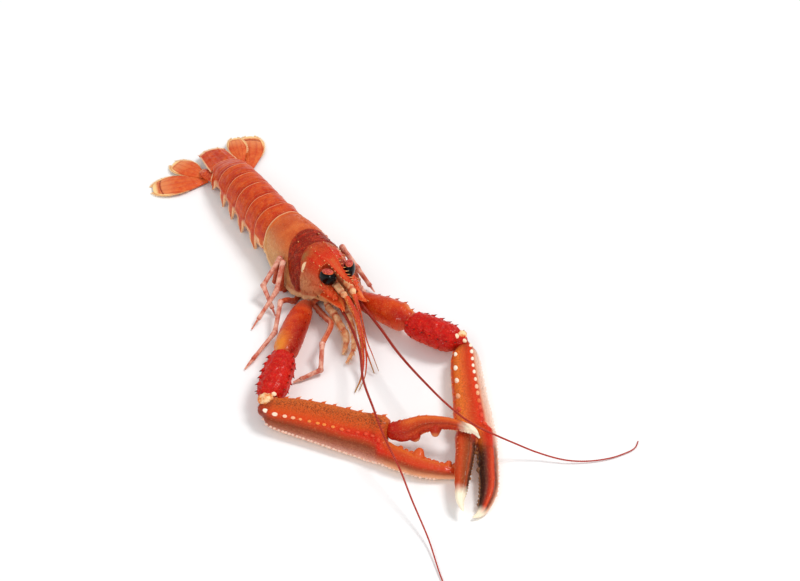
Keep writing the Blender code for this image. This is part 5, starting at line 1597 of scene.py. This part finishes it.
class LOBSTER_OT_legs(bpy.types.Operator):
    """Builds the eight walking legs."""

    bl_idname = "lobster.legs"
    bl_label = "Walking legs"

    def execute(self, context):
        for name, joints in LEG_JOINTS.items():
            nodes = [f"{name}_upper", f"{name}_lower"]
            lay_mesh(f"walking_{name}", leg_shape(name, joints), limb_finish(), nodes)
        return {"FINISHED"}


# Claws

PALM_SECTION = ((1.0, 0.22), (0.74, 0.68), (0.3, 0.84), (-0.2, 1.0), (-0.55, 0.72), (-0.92, 0.36),
    (-1.0, -0.1), (-0.78, -0.62), (-0.3, -0.94), (0.3, -0.98), (0.78, -0.7), (1.0, -0.25))
CLAW_ROLLS = {"right": 32.0, "left": 14.0}
# Rows of x, y, z, half width, half thickness and, where given, a shift outwards
ARMS = {
    "right": {
        "ischium": ((-8.5, -54.6, 6.0, 2.2), (-9.8, -54.6, 6.0, 2.3), (-14.2, -56.2, 5.6, 2.1),
            (-18.6, -57.6, 7.4, 3.4)),
        "merus": ((-21.0, -59.9, 8.4, 4.8, 4.6), (-25.2, -64.1, 9.4, 6.4, 6.0),
            (-33.0, -71.9, 11.0, 7.4, 7.6), (-44.0, -82.9, 12.2, 7.8, 8.8), (-51.0, -89.9, 12.8, 7.6, 8.6),
            (-54.0, -92.9, 13.0, 5.8, 6.6)),
        "carpus": ((-54.9, -93.7, 12.8, 4.8, 5.8, -0.4), (-58.0, -96.6, 12.5, 7.6, 7.8, -0.8),
            (-65.1, -102.8, 12.1, 9.0, 8.6, -1.2), (-72.8, -110.8, 11.6, 9.1, 8.4, -1.2),
            (-77.9, -116.2, 11.2, 7.8, 7.7, -0.8), (-80.1, -118.4, 11.0, 5.0, 5.8, 0.0)),
        "propodus": ((-84.6, -123.8, 9.0, 4.6, 4.8, 0.0), (-81.8, -127.8, 8.8, 8.5, 6.8, -0.3),
            (-73.6, -138.3, 8.8, 10.8, 7.3, 0.2), (-57.4, -162.6, 8.0, 12.5, 7.5, 2.2),
            (-48.0, -180.6, 6.3, 13.7, 7.6, 6.0), (-46.2, -183.8, 6.3, 13.0, 7.3, 5.7),
            (-44.2, -187.2, 6.4, 6.9, 6.2, 0.2), (-40.0, -195.6, 6.4, 6.3, 5.6, 0.0),
            (-31.5, -208.2, 5.6, 5.4, 5.0, 0.0), (-19.6, -218.8, 4.4, 3.8, 3.6, 0.0),
            (-11.4, -224.8, 3.2, 0.9, 1.0, 0.0)),
        "dactyl": ((-33.2, -181.8, 13.2, 5.2, 4.8), (-29.4, -185.1, 14.2, 6.2, 5.4),
            (-19.9, -188.1, 17.0, 4.7, 4.8), (-10.7, -194.7, 19.0, 3.5, 3.7), (-3.1, -203.7, 20.4, 2.5, 2.7),
            (0.9, -210.9, 20.4, 1.8, 1.9), (1.2, -216.4, 19.4, 0.6, 0.6)),
    },
    "left": {
        "ischium": ((8.5, -54.6, 5.8, 2.2), (9.8, -54.8, 5.4, 2.2), (11.6, -59.0, 5.3, 2.1),
            (11.2, -64.4, 7.4, 3.3)),
        "merus": ((10.8, -67.4, 8.4, 4.2, 4.4), (11.2, -72.4, 9.1, 5.2, 5.2), (13.8, -82.0, 10.6, 6.8, 6.8),
            (18.1, -95.0, 12.5, 8.2, 8.8), (21.5, -103.4, 13.0, 8.4, 9.2), (23.1, -107.0, 13.3, 6.2, 7.0)),
        "carpus": ((23.9, -108.7, 13.2, 4.9, 5.8), (25.0, -112.2, 12.6, 7.6, 8.2),
            (30.2, -122.4, 12.2, 8.7, 9.2), (35.7, -131.8, 11.7, 8.5, 8.9), (39.0, -136.6, 11.7, 7.0, 7.4),
            (40.4, -138.5, 11.8, 4.8, 5.4)),
        "propodus": ((41.4, -143.0, 8.4, 4.6, 5.0, 0.0), (39.8, -146.6, 8.0, 7.0, 6.8, 0.5),
            (36.1, -153.4, 7.7, 8.8, 7.3, 1.0), (25.4, -175.8, 7.3, 10.1, 7.5, 2.6),
            (16.0, -199.6, 6.2, 11.6, 7.5, 5.5), (14.2, -203.2, 6.2, 11.3, 7.2, 5.4),
            (12.4, -207.0, 6.2, 6.4, 6.2, 0.2), (6.8, -217.0, 6.2, 5.8, 5.6, 0.0),
            (-0.9, -229.5, 5.3, 5.6, 5.2, 0.0), (-8.7, -241.3, 4.4, 5.0, 4.4, 0.0),
            (-15.8, -248.0, 3.4, 3.6, 3.3, 0.0), (-22.3, -251.7, 2.5, 1.8, 1.8, 0.0),
            (-25.8, -251.6, 2.4, 0.6, 0.6, 0.0)),
        "dactyl": ((1.6, -203.4, 11.2, 4.8, 4.8), (-1.3, -206.8, 11.8, 5.8, 5.2),
            (-6.9, -214.7, 12.0, 5.4, 4.8), (-15.6, -225.6, 11.0, 4.6, 4.2), (-23.8, -236.0, 9.6, 3.4, 3.2),
            (-28.4, -241.9, 8.2, 2.2, 2.2), (-30.2, -247.5, 6.6, 0.6, 0.6)),
    },
}

# Rows of studs on a limb: kind, first and last share of its length, count, place round it, length, radius,
# lean. On a claw the way round starts at the inner edge, 0.25 is the back ridge and 0.5 the outer edge; on an
# arm 0.25 is the top.
MERUS_STUDS = {
    "right": (("thorn", 0.30, 0.90, 5, 0.40, 1.3, 0.8, 0.7), ("thorn", 0.96, 0.96, 1, 0.45, 2.2, 1.0, 1.5),
        ("thorn", 0.25, 0.88, 6, 0.96, 0.9, 0.6, 0.7)),
    "left": (("thorn", 0.40, 0.90, 5, 0.40, 1.8, 0.9, 0.7), ("thorn", 0.96, 0.96, 1, 0.42, 2.4, 1.0, 1.5),
        ("thorn", 0.25, 0.92, 6, 0.96, 1.0, 0.6, 0.7)),
}
CARPUS_STUDS = dict.fromkeys(SIDES, (
    ("thorn", 0.16, 0.86, 7, 0.08, 2.3, 1.1, 0.9), ("thorn", 0.16, 0.88, 7, 0.42, 2.3, 1.1, 0.9),
    ("thorn", 0.25, 0.8, 5, 0.97, 1.5, 0.9, 0.7), ("thorn", 0.25, 0.85, 5, 0.54, 1.5, 0.9, 0.7)))
PALM_STUDS = {
    "right": (("thorn", 0.06, 0.53, 10, -0.008, 2.0, 1.1, 0.7), ("bead", 0.05, 0.10, 2, 0.25, 1.0, 1.25, 0.3),
        ("bead", 0.145, 0.58, 13, (0.247, 0.212), 0.8, 0.85, 0.3), ("pearl", 0.05, 0.86, 46, (0.425, 0.462),
        0.7, 0.85, 0.3)),
    "left": (("bead", 0.02, 0.43, 6, 0.058, 1.0, 1.25, 0.3), ("bead", 0.06, 0.52, 12, 0.25, 0.9, 1.05, 0.3),
        ("pearl", 0.05, 0.86, 46, 0.462, 0.6, 0.6, 0.3), ("thorn", 0.08, 0.46, 9, -0.008, 1.2, 0.9, 0.7)),
}
FINGER_TEETH = {
    "right": (("tooth", 0.68, 0.735, 3, -0.042, 1.4, 1.5, 0.0),
        ("tooth", 0.766, 0.766, 1, -0.042, 4.4, 3.0, 0.0), ("tooth", 0.80, 0.88, 5, -0.042, 1.0, 1.3, 0.0),
        ("tooth", 0.905, 0.935, 2, -0.042, 2.6, 2.0, 0.2)),
    "left": (("tooth", 0.60, 0.60, 1, -0.042, 1.6, 1.8, 0.0), ("tooth", 0.64, 0.71, 4, -0.042, 0.8, 1.1, 0.0),
        ("tooth", 0.75, 0.75, 1, -0.042, 1.4, 1.6, 0.0), ("tooth", 0.79, 0.93, 8, -0.042, 0.8, 0.9, 0.0)),
}
HAND_STUDS = {name: PALM_STUDS[name] + FINGER_TEETH[name] for name in SIDES}
DACTYL_STUDS = {
    "right": (("tooth", 0.25, 0.25, 1, 0.517, 2.8, 3.0, 0.0), ("tooth", 0.31, 0.44, 5, 0.517, 1.1, 1.2, 0.0),
        ("tooth", 0.498, 0.498, 1, 0.517, 4.4, 3.0, 0.0), ("tooth", 0.56, 0.88, 12, 0.517, 0.9, 0.9, 0.0),
        ("thorn", 0.08, 0.42, 6, 0.05, 1.0, 0.8, 0.6)),
    "left": (("tooth", 0.30, 0.30, 1, 0.517, 1.5, 1.4, 0.0), ("tooth", 0.36, 0.57, 7, 0.517, 0.8, 0.75, 0.0),
        ("tooth", 0.62, 0.62, 1, 0.517, 1.3, 1.1, 0.0), ("tooth", 0.67, 0.92, 9, 0.517, 0.7, 0.6, 0.0),
        ("thorn", 0.08, 0.42, 6, 0.05, 1.0, 0.8, 0.6)),
}
STUD_PROFILES = {"thorn": THORN, "bead": KNOB, "pearl": KNOB, "tooth": TOOTH}
LENGTHENED = {"thorn": 1.0, "bead": 1.5, "pearl": 1.2, "tooth": 1.25}
BENT = {"thorn": 0.18}
# Knuckles: kind, both ends, half width, half thickness
KNUCKLES = {
    "right": (("knuckle", (-84.0, -119.6, 13.4), (-81.0, -121.4, 13.8), 4.2, 3.6), ("bead",
        (-77.4, -119.8, 15.6), (-76.8, -121.4, 15.0), 1.5, 1.2)),
    "left": (("knuckle", (41.2, -138.6, 15.6), (43.4, -137.4, 14.6), 3.1, 2.8), ("bead", (37.4, -137.0, 17.0),
        (38.4, -138.8, 16.2), 2.0, 1.6), ("bead", (41.0, -141.6, 14.6), (41.6, -142.6, 14.0), 1.3, 1.2)),
}
# Joints of a claw: node, piece, slot, points round and along, relief and its length, studs, and the granules'
# count, first and last share, last turn and size
CLAW_JOINTS = (
    ("merus", "arm", "claw", 72, 100, (0.07, 4.0), MERUS_STUDS, (160, 0.1, 0.95, 0.55, 0.18)),
    ("carpus", "wrist", "carpus", 84, 90, (0.25, 3.2), CARPUS_STUDS, (240, 0.08, 0.95, 0.55, 0.26)),
    ("propodus", "hand", "claw", 120, 230, (0.1, 4.0), HAND_STUDS, (500, 0.04, 0.6, 0.24, 0.2)),
    ("dactyl", "finger", "claw", 96, 150, (0.08, 4.0), DACTYL_STUDS, (160, 0.05, 0.5, 0.45, 0.24)),
)
CLAW_SEEDS = range(101, 109, 2)
CLAW_FINISHES = {"merus": merus_finish, "carpus": carpus_finish, "propodus": propodus_finish,
                 "dactyl": dactyl_finish}


def stud_rows(rings, rows, scale=1.0):
    """Studs in rows along a limb, varied a little in size, with the limb's own marks at their roots."""
    made = []
    for kind, first, last, count, around, length, radius, lean in rows:
        around = np.linspace(*np.broadcast_to(around, 2), count)
        share = np.linspace(first, last, count) + (RANDOM.uniform(-0.004, 0.004, count) if count > 1 else 0.0)
        places, outward, forward = on_skin(rings, share, around)
        size = RANDOM.uniform(0.86, 1.16, count) * scale
        made.append(studs(places, outward + forward * lean, length * size, radius * size, STUD_PROFILES[kind],
                          sides=12, bend=forward * BENT.get(kind, 0.0), longer=(forward, LENGTHENED[kind]),
                          **turn_marks(share, around), **{kind: 1.0}))
    return made


def turn_marks(share, around):
    """Marks of a place on a tube: its length share, and the cosine and sine of its turn."""
    angle = around * 2 * math.pi
    return {"along": share, "inner": np.cos(angle), "top": np.sin(angle)}


def granules(rings, count, low, high, last_turn, size, seed):
    """Small knobs scattered over a part of a limb, from its inner edge to a turn."""
    random = np.random.default_rng(seed)
    share = random.uniform(low, high, count)
    turn = random.uniform(0.0, last_turn, count)
    places, outward, forward = on_skin(rings, share, turn)
    size = size * random.uniform(0.6, 1.3, count)
    return studs(places, outward + forward * 0.6, size * 1.2, size, THORN, sides=6, **turn_marks(share, turn))


def knuckles(name):
    """Smooth bean-shaped knobs at the wrist's far end, where the hand turns on it."""
    made = []
    for kind, first, last, wide, thick in KNUCKLES[name]:
        rows = [(*first, wide * 0.8, thick * 0.8), (*(np.add(first, last) / 2), wide, thick),
                (*last, wide * 0.85, thick * 0.85)]
        made.append(tube(rings_along(rows, 28, 16), **{kind: 1.0}))
    return made


def build_claw(name):
    """A short first joint, then the arm, wrist, hand and finger: rings with relief, studs and granules.

    The hand and the finger have the palm's section, rolled about their length and mirrored on the right.
    """
    title = f"cheliped_{name}_"
    rings = rings_along(rounded(ARMS[name]["ischium"]), 40, 50)
    lay_mesh(title + "first_joint", tube(rings), limb_finish(), [title + "ischium"])
    for seed, (node, piece, slot, around, count, relief, rows, grains) in zip(CLAW_SEEDS, CLAW_JOINTS):
        if node in ("propodus", "dactyl"):
            section = closed_section(PALM_SECTION, around)
            rings = rings_along(ARMS[name][node], section, count, SIDES[name] * CLAW_ROLLS[name], SIDES[name])
        else:
            rings = rings_along(ARMS[name][node], around, count)
        rings = roughened(rings, *relief, seed)
        shapes = [tube(rings), *stud_rows(rings, rows[name], sizes().thorn_size)]
        if node == "carpus":
            shapes += knuckles(name)
        shape = join([*shapes, granules(rings, *grains, seed + 1)])
        lay_mesh(title + piece, shape, CLAW_FINISHES[node](name), [title + node])


class LOBSTER_OT_claws(bpy.types.Operator):
    """Builds both claws with their arms."""

    bl_idname = "lobster.claws"
    bl_label = "Claws"

    def execute(self, context):
        for name in SIDES:
            build_claw(name)
        return {"FINISHED"}


# Long feelers

FLAGELLA = {
    "right": ((-6.4, -77.8, 15.4), (-7.8, -85.2, 15.9), (-12.7, -104.6, 17.5), (-18.0, -119.6, 18.5),
        (-30.2, -143.5, 20.5), (-38.6, -168.5, 22.3), (-43.0, -183.0, 22.0), (-45.8, -194.8, 21.0),
        (-47.4, -207.6, 17.5), (-51.2, -228.3, 9.5), (-55.8, -251.7, 3.5), (-64.2, -278.4, 1.0),
        (-69.0, -300.0, 0.9)),
    "left": ((6.2, -77.8, 15.4), (4.2, -95.7, 17.0), (2.2, -112.4, 18.5), (-0.6, -132.5, 20.0),
        (-2.7, -166.0, 23.0), (-2.1, -195.6, 25.0), (-0.5, -206.0, 25.3), (2.9, -215.0, 24.5),
        (9.9, -219.1, 19.0), (20.5, -225.2, 11.0), (29.9, -232.8, 5.5), (44.1, -245.8, 2.0),
        (59.4, -253.9, 1.1), (71.3, -256.9, 0.9), (83.4, -256.3, 0.9), (86.7, -253.8, 0.9)),
}
# Share of the length, and radius
FLAGELLUM_RADII = ((0, 1.0), (0.4, 0.68), (1.0, 0.36))


class LOBSTER_OT_feelers(bpy.types.Operator):
    """Builds the antennae: ringed threads whose radius falls along them."""

    bl_idname = "lobster.feelers"
    bl_label = "Long feelers"

    def execute(self, context):
        for name, points in FLAGELLA.items():
            points = np.array(points, float)
            share = run(points) / run(points)[-1]
            radius = np.interp(share, *zip(*FLAGELLUM_RADII))[:, None]
            thread = ringed(np.concatenate([points, radius, radius], 1), *LONG_FEELER)
            nodes = [f"antenna_{name}_{number}" for number in (1, 2, 3)]
            lay_mesh(f"long_feeler_{name}", thread, feeler_finish(), nodes)
        return {"FINISHED"}


# Stage

TARGET = np.array((41.5, -70.6, 0.0))
CAMERA_DISTANCE = 1187.5
CAMERA_DIRECTION = np.array((-0.399, -0.626, 0.669))
CAMERA_LENS = 85.5
FLOOR_CORNERS = ((-6, -6, 0), (6, -6, 0), (6, 6, 0), (-6, 6, 0))
WORLD_STRENGTH = 0.6
LIGHT_TARGET = Vector((0, -0.05, 0))
# Disk lights: place and diameter in metres, power in watts
LIGHTS = {
    "key_light": ((1.25, -0.25, 2.1), 0.8, 31.0),
    "fill_light": ((-1.6, -0.5, 1.9), 1.2, 9.0),
    "front_light": ((-1.0, -1.55, 0.42), 0.3, 6.0),
}


def floor_finish():
    """Plain pale floor with a faint unevenness in its gloss."""
    floor = Shading("studio_floor")
    patches = floor.noise(90.0, 2.0)
    floor.colour = floor.mix(patches, (0.92, 0.92, 0.92), (0.95, 0.95, 0.95))
    return floor.finish(0.6 + patches * 0.1, Specular_IOR_Level=0.2)


def aim(made, place, direction):
    """Moves an object to a place and turns its front to a direction."""
    made.location = place
    made.rotation_euler = direction.to_track_quat("-Z", "Y").to_euler()


def build_floor():
    """A square under the model, which isn't a piece of it."""
    floor = bpy.data.meshes.new("floor")
    floor.from_pydata(FLOOR_CORNERS, [], [(0, 1, 2, 3)])
    floor.materials.append(floor_finish())
    linked("floor", floor)


def build_lights():
    """A white world and three disk lights."""
    world = bpy.data.worlds.new("studio")
    world.use_nodes = True
    background = world.node_tree.nodes["Background"].inputs
    background["Color"].default_value = (1.0, 1.0, 1.0, 1.0)
    background["Strength"].default_value = WORLD_STRENGTH
    bpy.context.scene.world = world
    bpy.context.scene.view_settings.view_transform = "Standard"
    for name, (place, size, power) in LIGHTS.items():
        light = bpy.data.lights.new(name, "AREA")
        light.shape = "DISK"
        light.size = size
        light.energy = power
        aim(linked(name, light), Vector(place), LIGHT_TARGET - Vector(place))


def build_camera():
    """A camera that looks at a place on the floor beside the model, from a direction and a distance."""
    camera = bpy.data.cameras.new("camera")
    camera.lens = CAMERA_LENS
    camera.sensor_width = 36.0
    camera.clip_end = 50.0
    target = Vector(TARGET * MM + SHIFT)
    target.z = 0.0
    direction = Vector(CAMERA_DIRECTION).normalized()
    made = linked("camera", camera)
    aim(made, target + direction * CAMERA_DISTANCE * MM, -direction)
    bpy.context.scene.camera = made


class LOBSTER_OT_stage(bpy.types.Operator):
    """Builds the floor, the lights and the camera."""

    bl_idname = "lobster.stage"
    bl_label = "Stage"

    def execute(self, context):
        build_floor()
        build_lights()
        build_camera()
        return {"FINISHED"}


# Add-on


def length_property(name, description, default):
    """A length in metres that a user may change."""
    return FloatProperty(name=name, description=description, default=default, unit="LENGTH")


class LobsterSizes(bpy.types.PropertyGroup):
    """Sizes that a user may change."""

    rostrum_length: length_property("Rostrum length", "From the eye socket to the tip", 0.022)
    groove_depth: length_property("Groove depth", "Depth of the groove across the carapace", 0.0011)
    ring_relief: length_property("Ring relief", "Depth of the furrows on the tail rings", 0.0004)
    hair_length: length_property("Hair length", "Length of the hairs round the tail fan", 0.0026)
    thorn_size: FloatProperty(name="Thorn size", description="Scale of thorns, beads and teeth", default=1.0,
                              subtype="FACTOR")


class LobsterColours(bpy.types.PropertyGroup):
    """Colours that a user may change."""

    cream: FloatVectorProperty(name="Cream", description="Rims of the shell", size=3, subtype="COLOR",
                               default=tint(244, 206, 158))


OPERATORS = (
    LOBSTER_OT_carapace,
    LOBSTER_OT_underside,
    LOBSTER_OT_abdomen,
    LOBSTER_OT_tail_fan,
    LOBSTER_OT_eyes,
    LOBSTER_OT_feeler_bases,
    LOBSTER_OT_short_feelers,
    LOBSTER_OT_mouth_limbs,
    LOBSTER_OT_legs,
    LOBSTER_OT_claws,
    LOBSTER_OT_feelers,
    LOBSTER_OT_stage,
)


class LOBSTER_PT_pieces(bpy.types.Panel):
    """Lists the sizes, the colours and the pieces."""

    bl_label = "Norway lobster"
    bl_idname = "LOBSTER_PT_pieces"
    bl_space_type = "VIEW_3D"
    bl_region_type = "UI"
    bl_category = "Lobster"

    def draw(self, context):
        for group in (context.scene.lobster_sizes, context.scene.lobster_colours):
            for name in group.__annotations__:
                self.layout.prop(group, name)
        for operator in OPERATORS:
            self.layout.operator(operator.bl_idname)


CLASSES = (LobsterSizes, LobsterColours, *OPERATORS, LOBSTER_PT_pieces)


def register():
    for item in CLASSES:
        bpy.utils.register_class(item)
    bpy.types.Scene.lobster_sizes = PointerProperty(type=LobsterSizes)
    bpy.types.Scene.lobster_colours = PointerProperty(type=LobsterColours)


def unregister():
    del bpy.types.Scene.lobster_colours
    del bpy.types.Scene.lobster_sizes
    for item in reversed(CLASSES):
        bpy.utils.unregister_class(item)


def main():
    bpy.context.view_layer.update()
    register()
    for operator in OPERATORS:
        getattr(bpy.ops.lobster, operator.bl_idname.split(".")[1])()


if __name__ == "__main__":
    main()
